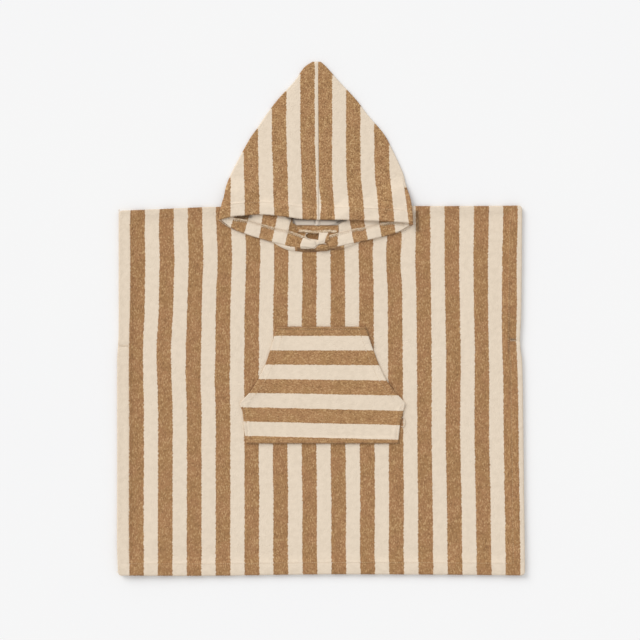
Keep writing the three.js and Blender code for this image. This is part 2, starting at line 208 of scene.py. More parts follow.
# Shares of a fold's rise at the sewn sides and at the hand openings, and how one turns into the other
SIDE_RISE = 0.8
OPENING_RISE = 0.45
OPENING_TURN = 8.0
OPENING_RAMP = 9.0
POCKET_BULGE = 1.1
POCKET_GAPE = {"rise": 2.3, "y": -101.0, "height": 17.0, "reach": 22.0}

EDGE_ROUND = 1.5


# Small helpers

def mix(a, b, u):
    """The value a share u of the way from a to b."""
    return a + (b - a) * u


def ease(start, end, value):
    """0 up to start and 1 from end, with a smooth step 3u^2 - 2u^3 between them."""
    u = np.clip((value - start) / (end - start), 0, 1)
    return u * u * (3 - 2 * u)


def band(distance, width, ramp):
    """1 within a band along an edge, falling to 0 over the ramp beyond it."""
    return 1 - ease(width, width + ramp, distance)


def smooth(rows, key, column, at):
    """A column at a key: straight between two rows plus a cubic bend, so that slopes are even at each row."""
    keys, values = rows[key], rows[column]
    last = len(keys) - 1
    before = np.maximum(np.arange(last + 1) - 1, 0)
    after = np.minimum(np.arange(last + 1) + 1, last)
    slopes = (values[after] - values[before]) / (keys[after] - keys[before])
    i = np.clip(np.searchsorted(keys, at, side="right") - 1, 0, last - 1)
    span = keys[i + 1] - keys[i]
    u = np.clip((at - keys[i]) / span, 0, 1)
    rise = (values[i + 1] - values[i]) / span
    bend = (1 - u) * (slopes[i] - rise) - u * (slopes[i + 1] - rise)
    return mix(values[i], values[i + 1], u) + span * u * (1 - u) * bend


def straight(rows, key, column, at):
    """A column at a key along straight lines between the rows, whichever way the rows run."""
    order = np.argsort(rows[key])
    return np.interp(at, rows[key][order], rows[column][order])


def groove(distance, half_width, depth):
    """A soft trough along a line: depth times (1 - (d/w)^2)^2 within the half width w."""
    u = np.clip(np.abs(distance) / half_width, 0, 1)
    return depth * (1 - u * u) ** 2


def fullness(inset, radius):
    """How full a folded edge is at a distance from its rim: a quarter circle, from a small share up to 1."""
    u = np.clip(inset / radius, 0, 1)
    return np.maximum(np.sqrt(np.maximum(1 - (1 - u) ** 2, 0)), 0.16)


def smooth_path(rows, samples=400):
    """A path through the rows as a Catmull-Rom curve, returned as a function of the share of its length."""
    points = np.stack([rows["x"], rows["y"]], 1)
    padded = np.vstack([points[:1], points, points[-1:]])
    p = np.linspace(0, len(points) - 1, samples)
    i = np.minimum(p.astype(int), len(points) - 2)
    w = (p - i)[:, None]
    a, b, c, d = (padded[i + k] for k in range(4))
    start, end = (c - a) / 2, (d - b) / 2
    curve = b + start * w + (3 * (c - b) - 2 * start - end) * w ** 2 + (2 * (b - c) + start + end) * w ** 3
    length = np.concatenate([[0], np.cumsum(np.hypot(*np.diff(curve, axis=0).T))])
    share = length / length[-1]
    return lambda u: np.stack([np.interp(u, share, curve[:, 0]), np.interp(u, share, curve[:, 1])], -1)


# Body outline and heights

def side_distance(x, y):
    """Distance in from the nearer side of the body."""
    return np.minimum(x - smooth(SIDES, "y", "left", y), smooth(SIDES, "y", "right", y) - x)


def corner_cut(x, y):
    """How far a rounded corner holds the edge back: a quarter circle within its radius."""
    inset = np.clip(side_distance(x, y), 0, CORNER_RADIUS)
    return CORNER_RADIUS - np.sqrt(CORNER_RADIUS ** 2 - (CORNER_RADIUS - inset) ** 2)


def shoulder_y(x):
    level = smooth(SHOULDER, "x", "y", x)
    return level - corner_cut(x, level)


def hem_y(x):
    return smooth(HEM_LINE, "x", "y", x) + corner_cut(x, np.full_like(x, -HALF_LENGTH))


def panel_top_y(x, neck_depth):
    """Top edge of a panel: the shoulder line with half an ellipse scooped out for the neck."""
    across = (x - NECK["x"]) / NECK["half_width"]
    return shoulder_y(x) - neck_depth * np.sqrt(np.maximum(0, 1 - across ** 2))


def rim_distance(x, y):
    """Distance in from the nearest of the sides, the hem and the shoulder line."""
    return np.minimum(np.minimum(side_distance(x, y), y - hem_y(x)), shoulder_y(x) - y)


def fold_rise(x, y, ramp):
    """How much the folded edges thicken a panel: its hems by one rise, its shoulder seam by a smaller one."""
    hem = band(np.minimum(side_distance(x, y), y - hem_y(x)), HEM_WIDTH, ramp)
    shoulder = band(shoulder_y(x) - y, SHOULDER_BAND, ramp)
    return np.maximum(FOLD_RISE * hem, SHOULDER_RISE * shoulder)


def bells(rows, x, y):
    """Sum of a table of bells: each has a centre, a half width, a half height and an amount at its centre."""
    total = np.zeros_like(x)
    for cx, cy, width, height, amount in zip(*rows.values()):
        total += amount * np.exp(-((x - cx) / width) ** 2 - ((y - cy) / height) ** 2)
    return total


# The lower corners stand a little off the surface
CORNER_LIFTS = table(
    "x y width height rise",
    (-300, -378, 105, 70, 2.2),
    (300, -366, 45, 70, 0.9),
)
# Broad lift of the front over the back, and between which distances from its rim it grows
FRONT_LIFT = {"rise": 1.05, "from": HEM_WIDTH - 4, "to": HEM_WIDTH + 40}
# Soft creases of the front: a point on each, its direction, half length, half width and depth
CREASES = table(
    "x y turn length width depth",
    (-262, -42, 8, 62, 7, 0.55),
    (-236, -50, -14, 46, 9, 0.4),
    (262, -36, 172, 50, 7, 0.45),
    (236, -46, -164, 42, 9, 0.35),
    (-150, 40, 84, 90, 13, 0.4),
    (-60, -250, 94, 80, 12, 0.35),
    (96, -262, 80, 95, 14, 0.4),
    (196, 60, 97, 100, 13, 0.4),
    (170, -190, 88, 70, 11, 0.3),
    (-205, -210, 91, 110, 15, 0.45),
    (30, 30, 86, 44, 10, 0.3),
    (-96, 84, 58, 34, 8, 0.4),
    (112, 88, 122, 36, 8, 0.4),
)


def creases(x, y):
    """Sum of soft troughs: each is a bell across its line and another along it."""
    total = np.zeros_like(x)
    for cx, cy, turn, length, width, depth in zip(*CREASES.values()):
        along = math.cos(math.radians(turn)), math.sin(math.radians(turn))
        u = (x - cx) * along[0] + (y - cy) * along[1]
        v = (y - cy) * along[0] - (x - cx) * along[1]
        total -= depth * np.exp(-(u / length) ** 2 - (v / width) ** 2)
    return total


def swell(x, y):
    """Lift of the front over the back: a broad lift, long waves and the creases, with none at its rim."""
    waves = (
        0.28 * np.sin(x / 47 + 0.6 * np.sin(y / 83))
        + 0.22 * np.sin(x / 29 - y / 140 + 1.3)
        + 0.24 * np.sin(y / 61 + 0.9 * np.sin(x / 95) + 2.1)
        + 0.14 * np.sin((x + 0.8 * y) / 34 + 0.4)
    )
    lift = FRONT_LIFT["rise"] + waves + creases(x, y)
    return np.maximum(lift, 0) * ease(FRONT_LIFT["from"], FRONT_LIFT["to"], rim_distance(x, y))


HEM_STITCH = HEM_WIDTH - 1.0
# How far in from each side its hem is stitched down
SIDE_STITCH = table(
    "y left right",
    (-378.5, 16.5, 17),
    (-45, 16.5, 16.6),
    (0, 16.5, 17.8),
    (60, 16.5, 18.8),
    (170, 16.5, 17.6),
)
# Depths of the stitched troughs; the right side's is deeper below the height given
STITCH_GROOVE = {"half": 2.4, "foot": 0.4, "sides": 0.3, "low_right": 0.8, "low_y": 50.0}
ARM_FOOT_Y = {"left": -40.5, "right": -32.5}
# The pinch at each armhole's foot: half height and depth, reach in from each side, and where it dies out
TACK_DENT = {"half": 3.2, "depth": 1.6, "left": 15.0, "right": 12.0, "ramp": 6.0}


def hem_grooves(x, y):
    """Troughs where the hems are stitched down: along the foot and, above it, up both sides."""
    half = STITCH_GROOVE["half"]
    from_side, from_foot = side_distance(x, y), y - hem_y(x)
    foot = groove(from_foot - HEM_STITCH, half, STITCH_GROOVE["foot"])
    deep = STITCH_GROOVE["low_right"] * ease(STITCH_GROOVE["low_y"], 0, y) * (x > 0)
    stitched = np.where(x < 0, straight(SIDE_STITCH, "y", "left", y), straight(SIDE_STITCH, "y", "right", y))
    sides = groove(from_side - stitched, half, 1) * (STITCH_GROOVE["sides"] + deep)
    above_foot = ease(HEM_STITCH - 3, HEM_STITCH, np.minimum(from_foot, from_side + 6))
    return np.maximum(foot, sides * above_foot)


def tack_dents(x, y):
    """Pinches where the foot of each armhole is tacked through both layers."""
    total = np.zeros_like(x)
    insets = {"left": x - smooth(SIDES, "y", "left", y), "right": smooth(SIDES, "y", "right", y) - x}
    for side, inset in insets.items():
        dent = groove(y - ARM_FOOT_Y[side], TACK_DENT["half"], TACK_DENT["depth"])
        total += dent * band(inset, TACK_DENT[side], TACK_DENT["ramp"])
    return total


# Widths over which a fold's rise dies out: on the back, where the front rests on it, and on upper faces
BACK_RAMP = 3.0
FRONT_REST_RAMP = 12.0
FOLD_RAMP = 2.2

# Where the neck seam's ridge starts and ends on each stretch, each end with its ramp
RIDGE_STRETCHES = table("start full fade end", (-72, -64, -38, -28), (20, 30, 66, 78))
RIDGE_FORM = {"rise": 0.6, "below": 1.5, "half": 3.4, "trough_below": 8.0, "trough_half": 3.0}


def lip_edge(x):
    """Height up the body of the lip's edge, on whichever half the point is."""
    return np.where(x < NECK["x"], straight(LEFT["lip"], "x", "y", x), straight(RIGHT["lip"], "x", "y", x))


def neck_ridge(x, y):
    """Soft ridge of the neck seam that shows just below the lip, on two stretches, with a trough below it."""
    below = lip_edge(x) - y
    stretches = [ease(a, b, x) * (1 - ease(c, d, x)) for a, b, c, d in zip(*RIDGE_STRETCHES.values())]
    ridge = np.exp(-((below - RIDGE_FORM["below"]) / RIDGE_FORM["half"]) ** 2)
    trough = groove(below - RIDGE_FORM["trough_below"], RIDGE_FORM["trough_half"], 1)
    return RIDGE_FORM["rise"] * np.maximum(*stretches) * (ridge - trough)


def back_under(x, y):
    return bells(CORNER_LIFTS, x, y)


def back_top(x, y):
    return back_under(x, y) + CLOTH + fold_rise(x, y, BACK_RAMP)


def front_under(x, y):
    return GAP + CLOTH + fold_rise(x, y, FRONT_REST_RAMP) + swell(x, y) + bells(CORNER_LIFTS, x, y)


def front_top(x, y):
    """Upper face of the front: its own cloth and folds over the face below, less grooves and dents."""
    folded = front_under(x, y) + CLOTH + fold_rise(x, y, FOLD_RAMP)
    return folded + neck_ridge(x, y) - hem_grooves(x, y) - tack_dents(x, y)


def body_top(x, y):
    """Highest face of the body at each point, 0 beside it."""
    height = np.where(y > panel_top_y(x, NECK["front_depth"]), back_top(x, y), front_top(x, y))
    off = (side_distance(x, y) < 0) | (y < hem_y(x)) | (y > panel_top_y(x, NECK["back_depth"]))
    return np.where(off, 0, height)


# A net of heights under the hood, from which each layer takes its rest
NET = {"step": 2.0, "left": -172.0, "low": 84.0, "columns": 172, "rows": 152}
NET_X, NET_Y = np.meshgrid(
    NET["left"] + NET["step"] * np.arange(NET["columns"]),
    NET["low"] + NET["step"] * np.arange(NET["rows"]),
)


def on_net(heights, x, y):
    """Height between the four nearest net points."""
    c = np.clip((x - NET["left"]) / NET["step"], 0, NET["columns"] - 1.001)
    r = np.clip((y - NET["low"]) / NET["step"], 0, NET["rows"] - 1.001)
    c0, r0 = c.astype(int), r.astype(int)
    low = mix(heights[r0, c0], heights[r0, c0 + 1], c - c0)
    high = mix(heights[r0 + 1, c0], heights[r0 + 1, c0 + 1], c - c0)
    return mix(low, high, r - r0)


def drape_over(heights, reach):
    """Cloth over steps: at each point the highest of all cones, level for the reach and then sloping down."""
    top = heights.max()
    span = math.ceil((reach + top / DRAPE_SLOPE) / NET["step"])
    padded = np.pad(heights, span)
    high = heights.copy()
    rows, columns = heights.shape
    for dr in range(-span, span + 1):
        for dc in range(-span, span + 1):
            drop = DRAPE_SLOPE * max(0.0, math.hypot(dr, dc) * NET["step"] - reach)
            if drop < top:
                near = padded[span + dr:span + dr + rows, span + dc:span + dc + columns]
                np.maximum(high, near - drop, out=high)
    return soften(high, 2)


def soften(heights, passes):
    """Each pass takes the mean of a point and its neighbours, first across and then along."""
    for _ in range(passes):
        padded = np.pad(heights, 1, mode="edge")
        across = (padded[:, :-2] + 2 * padded[:, 1:-1] + padded[:, 2:]) / 4
        heights = (across[:-2] + 2 * across[1:-1] + across[2:]) / 4
    return heights


REST_HEIGHTS = drape_over(body_top(NET_X, NET_Y), REST_REACH)
ON_SURFACE = 0.05


def hood_under(x, y):
    """Lower face of the hood: on the body it lies a gap above it, beside it on the surface."""
    rest = on_net(REST_HEIGHTS, x, y)
    rest = np.where(rest < ON_SURFACE, 0, rest)
    return rest + np.minimum(rest, GAP)


def hem_along(path, x, y):
    """Rise of the face edge's folded hem, by distance in from the brim or the lip."""
    inset = y - straight(path, "x", "y", x)
    return FOLD_RISE * band(inset, BRIM_HEM, FOLD_RAMP)


def brim_groove(half, x, y):
    """Shallow trough where the brim's hem is stitched down."""
    inset = y - straight(half["brim"], "x", "y", x)
    return groove(inset - BRIM_HEM + 1, BRIM_GROOVE["half"], BRIM_GROOVE["depth"])


def seam_x(y):
    """Centre seam: a straight line, a little aslant."""
    u = (y - SEAM_LINE["low_y"]) / (SEAM_LINE["high_y"] - SEAM_LINE["low_y"])
    return mix(SEAM_LINE["low_x"], SEAM_LINE["high_x"], u)


def lip_face(half, x, y):
    """Upper face of the under layer: level outside the roll, dipping to the neck hole inside it."""
    out = half["side"] * (x - seam_x(y))
    roll = straight(half["roll"], "y", "out", y)
    lip = ease(roll - ROLL_RAMP, roll + ROLL_RAMP, out) * (1 - ease(LIP_TOP_Y, SHOULDER_LEVEL_Y, y))
    plain = hood_under(x, y) + CLOTH
    curl = CURL["rise"] * np.exp(-((out - roll - CURL["out"]) / CURL["half"]) ** 2)
    curl = curl * ease(CURL["low_y"], CURL["full_y"], y) * (1 - ease(CURL["top_y"], SHOULDER_LEVEL_Y, y))
    return np.maximum(plain, mix(plain, LIP_LEVEL, lip)) + curl + hem_along(half["lip"], x, y)


def hood_width(half, y):
    """Reach of a half from the seam at a height, that of its foot below the foot."""
    return smooth(HOOD_WIDTHS, "y", half["name"], np.maximum(y, HOOD_FOOT_Y))


def cover_under(half, x, y):
    """Lower face of the top layer: clear of all below, swelling towards the seam and arched over the neck."""
    out = np.abs(x - seam_x(y))
    share = out / hood_width(half, y)
    puffed = ease(1, HOOD_PUFF["inner_share"], share)
    puff = HOOD_PUFF["rise"] * puffed * ease(HALF_LENGTH, HOOD_PUFF["full_y"], y)
    behind = y - straight(half["brim"], "x", "y", x)
    across = np.exp(-((x - NECK["x"]) / BRIM_ARCH["half"]) ** 2)
    arch = BRIM_ARCH["rise"] * across * band(behind, 1, BRIM_ARCH["reach"])
    return on_net(half["cover_heights"], x, y) + LAYER_GAP + puff + arch + hood_waves(x, y, share)


def hood_waves(x, y, share):
    """Slight unevenness of the hood's top: slow waves that die out at the fold and at the brim."""
    waves = 0.35 * np.sin(y / 21 + x / 60) + 0.3 * np.sin(x / 25 - y / 70 + 1) + 0.2 * np.sin((x + y) / 17)
    along = ease(HOOD_WAVES["none_y"], HOOD_WAVES["full_y"], y)
    return (waves + 0.5) * ease(1, HOOD_WAVES["full_share"], share) * along


for half in (LEFT, RIGHT):
    half["cover_heights"] = drape_over(lip_face(half, NET_X, NET_Y), COVER_REACH)


def under_face(half, x, y):
    """Inner face of the under layer: behind the brim the hidden folds fill it up to the mouth's gap."""
    behind = y - straight(half["brim"], "x", "y", x)
    filled = (cover_under(half, x, y) - MOUTH["gap"]) * ease(MOUTH["from"], MOUTH["to"], behind)
    return np.maximum(lip_face(half, x, y), filled)


# Stripes: each face carries a coordinate in periods, tan for the first part of each and cream after

# Where the cloth has shifted sideways as it was laid: centre, half width, half height and shift to the right
SHIFTS = table(
    "x y width height shift",
    (-232, -46, 42, 34, -2.6),
    (-127, 94, 110, 44, 2.5),
    (-250, 30, 60, 40, 0.8),
    (109, 83, 37, 27, -2.1),
    (271, 157, 70, 52, 2.8),
    (286, -39, 20, 44, -1.7),
    (220, -39, 60, 60, 0.9),
    (210, -150, 60, 40, -0.9),
    (-60, -335, 90, 45, -0.8),
    (-282, -371, 30, 40, 1.0),
    (-225, 160, 75, 20, 1.5),
    (-220, 86, 80, 30, 1.0),
    (-60, 42, 140, 28, 0.7),
    (262, -15, 22, 45, -1.3),
    (-195, -91, 85, 28, -1.5),
    (-45, -209, 75, 40, -1.0),
    (205, -209, 70, 40, -0.9),
    (95, -340, 60, 45, -1.2),
)


# Stripes up the panels: the first tan edge at one height, and what it and the period gain per mm below it
BODY_STRIPES = {"y": 42.0, "first": -281.9, "lean": -0.0026, "widening": 0.00114}


def body_stripe(x, y, shift=0.0):
    """Stripes up the panels: a period that widens a little to the foot, and bell-shaped shifts."""
    below = BODY_STRIPES["y"] - y
    period = STRIPE_PERIOD + BODY_STRIPES["widening"] * below
    first = BODY_STRIPES["first"] + BODY_STRIPES["lean"] * below + shift + bells(SHIFTS, x, y)
    return np.stack([(x - first) / period, y / STRIPE_PERIOD], -1)


# First tan edge of each half's top layer, from the brim to the peak
HOOD_FIRST = table(
    "y left right",
    (145, -28.2, -1.9),
    (190, -28.4, -3.0),
    (215, -28.6, -3.6),
    (260, -30.4, -4.7),
    (378, -30.6, -4.6),
)
# Period of each half's top layer at the brim, its period further up, and the height between the two
HOOD_PERIODS = {
    "left": {"brim": 42.1, "peak": 41.8, "height": 200.0},
    "right": {"brim": 43.6, "peak": 41.5, "height": 125.0},
}
HOOD_SHIFTS = table(
    "x y width height shift",
    (75, 213, 62, 33, -2.2),
    (22, 208, 14, 40, -1.1),
    (124, 184, 13, 28, -2.2),
    (2, 170, 6, 18, 3.0),
    (-58, 148, 36, 24, 1.7),
    (-106, 212, 20, 16, -1.5),
)


def hood_stripe(half, x, y):
    """Stripes of the top layer: parallel to the seam on the left, fanning out to the brim on the right."""
    first = smooth(HOOD_FIRST, "y", half["name"], y) + bells(HOOD_SHIFTS, x, y)
    periods = HOOD_PERIODS[half["name"]]
    up = np.clip((y - SEAM_LINE["low_y"]) / periods["height"], 0, 1)
    period = mix(periods["brim"], periods["peak"], up)
    return np.stack([(x - first) / period, y / STRIPE_PERIOD], -1)


# Stripe edges of the under layer at one height, and how far each leans outwards per millimetre below it
LIP_STRIPE_Y = 140.0
LIP_EDGES = {
    "left": table(
        "x across lean",
        (-173, -1, -0.27),
        (-152, -0.49, -0.27),
        (-131, 0, -0.27),
        (-109.1, 0.51, -0.27),
        (-87.6, 1, -0.16),
        (-66.6, 1.51, -0.22),
        (-45.4, 2, -0.25),
        (-16, 2.51, -0.42),
        (12, 3, -0.2),
        (24, 3.51, 0.1),
    ),
    "right": table(
        "x across lean",
        (-9, -0.49, -0.3),
        (11.2, 0, -0.26),
        (23, 0.51, 0.08),
        (42.8, 1, 0.18),
        (64, 1.51, 0.19),
        (85.8, 2, 0.16),
        (107.5, 2.51, 0.16),
        (129, 3, 0.16),
        (151, 3.51, 0.16),
    ),
}


def lip_stripe(half, x, y):
    """Stripes of the under layer: each edge is a straight line that leans out towards the lip."""
    edges = LIP_EDGES[half["name"]]
    below = LIP_STRIPE_Y - y
    lean = straight(edges, "x", "lean", x)
    lean = straight(edges, "x", "lean", x - lean * below)
    return np.stack([straight(edges, "x", "across", x - lean * below), y / STRIPE_PERIOD], -1)


# Stripes across the pocket: the first tan edge and the period, and the tilt that they reach a height below it
POCKET_STRIPES = {"first": -46.9, "period": 42.36, "tilt": 0.024, "height": 90.0, "level_x": -60.0}


def pocket_stripe(x, y):
    """Stripes across the pocket, sinking a little to the right towards its foot."""
    below = POCKET_STRIPES["first"] - y
    tilt = POCKET_STRIPES["tilt"] * np.clip(below / POCKET_STRIPES["height"], 0, 1)
    across = (below - tilt * (x - POCKET_STRIPES["level_x"])) / POCKET_STRIPES["period"]
    return np.stack([across, x / STRIPE_PERIOD], -1)


# Share of each period that is tan, and how far the back's stripes lie to the right of the front's
BODY_TAN = 0.508
HOOD_TAN = 0.51
POCKET_TAN = 0.495
BACK_STRIPE_SHIFT = 4.4


# Painted shade at the edges, which round away from the light: a little darker, and this much of it dies out
# over a width in from a panel's and the pocket's edge
EDGE_SHADE = {"dark": 0.055, "panel": 13.0, "pocket": 6.0}
# Painted shade where shadow falls between layers and in troughs, on the front, the pocket and the hood's top
# and under layer: a line from one point to another, the width it fades over and how dark it is
FRONT_SHADE = table(
    "x y to_x to_y width dark",
    (141.2, 157, 142.8, 129, 2.9, 0.6),
    (67, -17, 77, -43, 3.5, 0.3),
    (277.3, 54, 277, -4, 1.7, 0.2),
    (277, -4, 276.4, -50, 1.8, 0.34),
    (276.4, -50, 277.6, -120, 1.8, 0.14),
)
POCKET_SHADE = table(
    "x y to_x to_y width dark",
    (-58, -16.4, 58, -16.6, 1.3, 0.16),
)
HOOD_TOP_SHADE = table(
    "x y to_x to_y width dark",
    (121.8, 212, 123.4, 187, 1.1, 0.35),
)
HOOD_UNDER_SHADE = table(
    "x y to_x to_y width dark",
    (-48.5, 149.9, -36, 145.6, 3.0, 0.9),
    (-46, 148.4, -4, 146, 2.4, 0.7),
    (-4, 146, 34, 145.6, 2.4, 0.7),
    (-39, 143, -35, 132, 6, 0.25),
    (-36, 138, -31.5, 135.4, 1.8, 0.6),
    (-125, 148.4, -104, 150.4, 3.0, 0.75),
    (16, 147, 36, 145, 2.7, 0.8),
    (24, 142.5, 34, 145, 2.5, 0.75),
    (92.8, 137.3, 106, 142.5, 1.5, 0.55),
)


def line_shade(rows, x, y):
    """Painted shade along lines: each is darkest on the line and fades away from it as a bell."""
    total = np.zeros_like(x)
    for ax, ay, bx, by, width, dark in zip(*rows.values()):
        u = np.clip(((x - ax) * (bx - ax) + (y - ay) * (by - ay)) / ((bx - ax) ** 2 + (by - ay) ** 2), 0, 1)
        away = np.hypot(x - mix(ax, bx, u), y - mix(ay, by, u))
        total = np.maximum(total, dark * np.exp(-(away / width) ** 2))
    return total


# Meshes

def add_mesh(name, points, quads, stripes, shade, material):
    """A mesh object from whole arrays: points in mm, four corners a face, stripe coordinates and a painted
    shade.
    """
    mesh = bpy.data.meshes.new(name)
    mesh.vertices.add(len(points))
    mesh.vertices.foreach_set("co", (points * MM).astype(np.float32).ravel())
    mesh.loops.add(quads.size)
    mesh.loops.foreach_set("vertex_index", quads.astype(np.int32).ravel())
    mesh.polygons.add(len(quads))
    mesh.polygons.foreach_set("loop_start", np.arange(0, quads.size, 4, dtype=np.int32))
    mesh.update(calc_edges=True)
    mesh.polygons.foreach_set("use_smooth", np.ones(len(quads), bool))
    layer = mesh.uv_layers.new(name="cloth")
    layer.data.foreach_set("uv", stripes[quads.ravel()].astype(np.float32).ravel())
    shaded = mesh.attributes.new("shade", "FLOAT", "POINT")
    shaded.data.foreach_set("value", shade.astype(np.float32))
    mesh.materials.append(material)
    mesh.validate()
    piece = bpy.data.objects.new(name, mesh)
    bpy.context.scene.collection.objects.link(piece)
    return piece


def grid_quads(rows, columns, offset=0):
    """Corners of the faces between the points of a grid."""
    r, c = np.meshgrid(np.arange(rows - 1), np.arange(columns - 1), indexing="ij")
    a = offset + r * columns + c
    return np.stack([a, a + 1, a + columns + 1, a + columns], -1).reshape(-1, 4)


def rim_quads(rows, columns):
    """Faces that close a wall between two grids of the same size, along their four borders."""
    count = rows * columns
    top, foot = np.arange(columns), (rows - 1) * columns + np.arange(columns)
    left, right = np.arange(rows) * columns, np.arange(rows) * columns + columns - 1
    around = np.concatenate([top, right[1:], foot[::-1][1:], left[::-1][1:]])
    a, b = around[:-1], around[1:]
    return np.stack([b, a, a + count, b + count], -1)


def enclosed(points, quads):
    """Volume inside the faces, as a sum of pyramids from the origin, negative where they face inwards."""
    a, b, c, d = (points[quads[:, k]] for k in range(4))
    return (np.einsum("ij,ij->i", a, np.cross(b, c)) + np.einsum("ij,ij->i", a, np.cross(c, d))).sum()


def wall(name, face_a, face_b, stripes_a, stripes_b, shade, material):
    """A closed cloth wall between two grids of points."""
    rows, columns = face_a.shape[:2]
    points = np.concatenate([face_a.reshape(-1, 3), face_b.reshape(-1, 3)])
    stripes = np.concatenate([stripes_a.reshape(-1, 2), stripes_b.reshape(-1, 2)])
    lower = grid_quads(rows, columns, rows * columns)[:, ::-1]
    quads = np.concatenate([grid_quads(rows, columns), lower, rim_quads(rows, columns)])
    if enclosed(points, quads) < 0:
        quads = quads[:, ::-1]
    return add_mesh(name, points, quads, stripes, np.concatenate([shade.ravel(), shade.ravel()]), material)


# Panels

# Rows and columns crowd near a panel's edge, at these distances in from it, and are even between
EDGE_INSETS = [0, 0.25, 0.7, 1.5, 3.0, 5.5, 8.5, 11.5, 14.0, 15.3, 16.6, 17.9, 19.2, 20.6, 22.5, 26.0, 30.0]
PANEL_STEP = 3.1
PANEL_LENGTH = 545.0


def inset_series(low, high, insets, step):
    """Places from low to high: the insets from each end and even steps between them."""
    count = int(round((high - low - 2 * insets[-1]) / step))
    middle = np.linspace(low + insets[-1], high - insets[-1], count + 1)[1:-1]
    return np.concatenate([low + np.array(insets), middle, high - np.array(insets[::-1])])


def panel_plan(neck_depth):
    """Plan points of a panel: columns follow the sides, rows follow the hem below and the top edge above."""
    nominal = inset_series(-HALF_WIDTH, HALF_WIDTH, EDGE_INSETS, PANEL_STEP)
    up = inset_series(0.0, PANEL_LENGTH, EDGE_INSETS, PANEL_STEP)[:, None]
    inset = HALF_WIDTH - np.abs(nominal)
    reach = EDGE_INSETS[-1]

    def place_y(x):
        low, high = hem_y(x), panel_top_y(x, neck_depth)
        u = np.clip((up - reach) / (PANEL_LENGTH - 2 * reach), 0, 1)
        y = np.where(up < reach, low + up, mix(low + reach, high - reach, u))
        return np.where(up > PANEL_LENGTH - reach, high - (PANEL_LENGTH - up), y)

    x = np.broadcast_to(nominal, (len(up), len(nominal)))
    y = place_y(x)
    left = smooth(SIDES, "y", "left", y) + inset
    right = smooth(SIDES, "y", "right", y) - inset
    fade = ease(reach, 2 * reach, inset)
    x = mix(np.where(nominal < 0, left, right), x, fade)
    return x, place_y(x)


def rounded(low, high, inset, radius):
    """Lower and upper face heights drawn together at a folded edge."""
    middle, half_thick = (low + high) / 2, (high - low) / 2
    full = fullness(inset, radius)
    return middle - half_thick * full, middle + half_thick * full


def slab(name, x, y, low, high, stripes, shade, material):
    """A closed wall over a grid of plan points, between a lower and an upper height."""
    upper, lower = np.stack([x, y, high], -1), np.stack([x, y, low], -1)
    return wall(name, upper, lower, stripes, stripes, shade, material)


def panel(name, neck_depth, under_of, top_of, stripe_of, material):
    """One panel: plan points lifted to its two faces, with rounded outer edges."""
    x, y = panel_plan(neck_depth)
    rim = rim_distance(x, y)
    low, high = rounded(under_of(x, y), top_of(x, y), rim, EDGE_ROUND)
    stripes = stripe_of(x, y)
    shade = np.maximum(EDGE_SHADE["dark"] * band(rim, 0, EDGE_SHADE["panel"]), line_shade(FRONT_SHADE, x, y))
    return slab(name, x, y, low, high, stripes, shade, material)


# Hood

TOP_COLUMNS = 62
FOLD_STEPS = 9
TURNED_STEPS = 7
UNDER_COLUMNS = 92
FOOT_ROWS = 64
FOOT_CROWDING = 1.25
UPPER_STEP = 2.6
PEAK_INSETS = np.array([0, 0.4, 1.0, 2.0, 3.4])
PEAK_END = 6.0
PEAK_ROUND = 3.0
# Shares of each layer's width beyond which it bends into the side fold
FOLD_NEAR = {"top": 0.86, "under": 0.08}


def blend_patch(row_start, row_end, column_start, column_end, t):
    """Points inside four border curves: rows blended by t plus columns by s, less that of the corners."""
    s = np.linspace(0, 1, row_start.shape[0])[None, :, None]
    t = t[:, None, None]
    rows = mix(row_start[None], row_end[None], t)
    columns = mix(column_start[:, None], column_end[:, None], s)
    corners = mix(mix(row_start[0], row_start[-1], s), mix(row_end[0], row_end[-1], s), t)
    return rows + columns - corners


def hood_plan(half):
    """Plan of one half, row by row from peak to face edge: points of the fold, the top and under layer."""
    side = half["side"]
    s_top = np.linspace(0, 1, TOP_COLUMNS + 1)
    s_under = np.linspace(0, 1, UNDER_COLUMNS + 1)
    below_peak = np.arange(HALF_LENGTH - PEAK_END, HOOD_FOOT_Y + 1, -UPPER_STEP)
    y_up = np.concatenate([HALF_LENGTH - PEAK_INSETS, below_peak])
    seam = np.stack([seam_x(y_up) + side * SEAM_GAP / 2, y_up], -1)
    edge = np.stack([seam_x(y_up) + side * hood_width(half, y_up), y_up], -1)
    upper_top = mix(seam[:, None], edge[:, None], s_top[None, :, None])
    upper_under = mix(edge[:, None], seam[:, None], s_under[None, :, None])

    t = 1 - (1 - np.linspace(0, 1, FOOT_ROWS + 1)) ** FOOT_CROWDING
    corner = np.array([half["brim"]["x"][-1], half["brim"]["y"][-1]])
    foot = np.array([seam_x(HOOD_FOOT_Y) + side * SEAM_GAP / 2, HOOD_FOOT_Y])
    shoulder = np.array([seam_x(HOOD_FOOT_Y) + side * hood_width(half, HOOD_FOOT_Y), HOOD_FOOT_Y])
    fold_line = mix(shoulder, corner, t[:, None])
    seam_y = mix(HOOD_FOOT_Y, half["brim"]["y"][0], t)
    seam_side = np.stack([seam_x(seam_y) + side * SEAM_GAP / 2, seam_y], -1)
    border_y = straight(INNER_BORDER, "t", "y", t)
    border_out = SEAM_GAP / 2 + half["hole_end"] * smooth(INNER_BORDER, "t", "out", t)
    border = np.stack([seam_x(border_y) + side * border_out, border_y], -1)
    brim, lip = smooth_path(half["brim"]), smooth_path(half["lip"])
    low_top = blend_patch(mix(foot, shoulder, s_top[:, None]), brim(s_top), seam_side, fold_line, t)
    low_under = blend_patch(mix(shoulder, foot, s_under[:, None]), lip(s_under), fold_line, border, t)
    bulge = 4 * FOLD_BULGE * t * (1 - t) * side
    low_fold = fold_line + np.stack([bulge, np.zeros_like(t)], -1)
    fold = np.concatenate([edge, low_fold])
    return fold, np.concatenate([upper_top, low_top]), np.concatenate([upper_under, low_under])


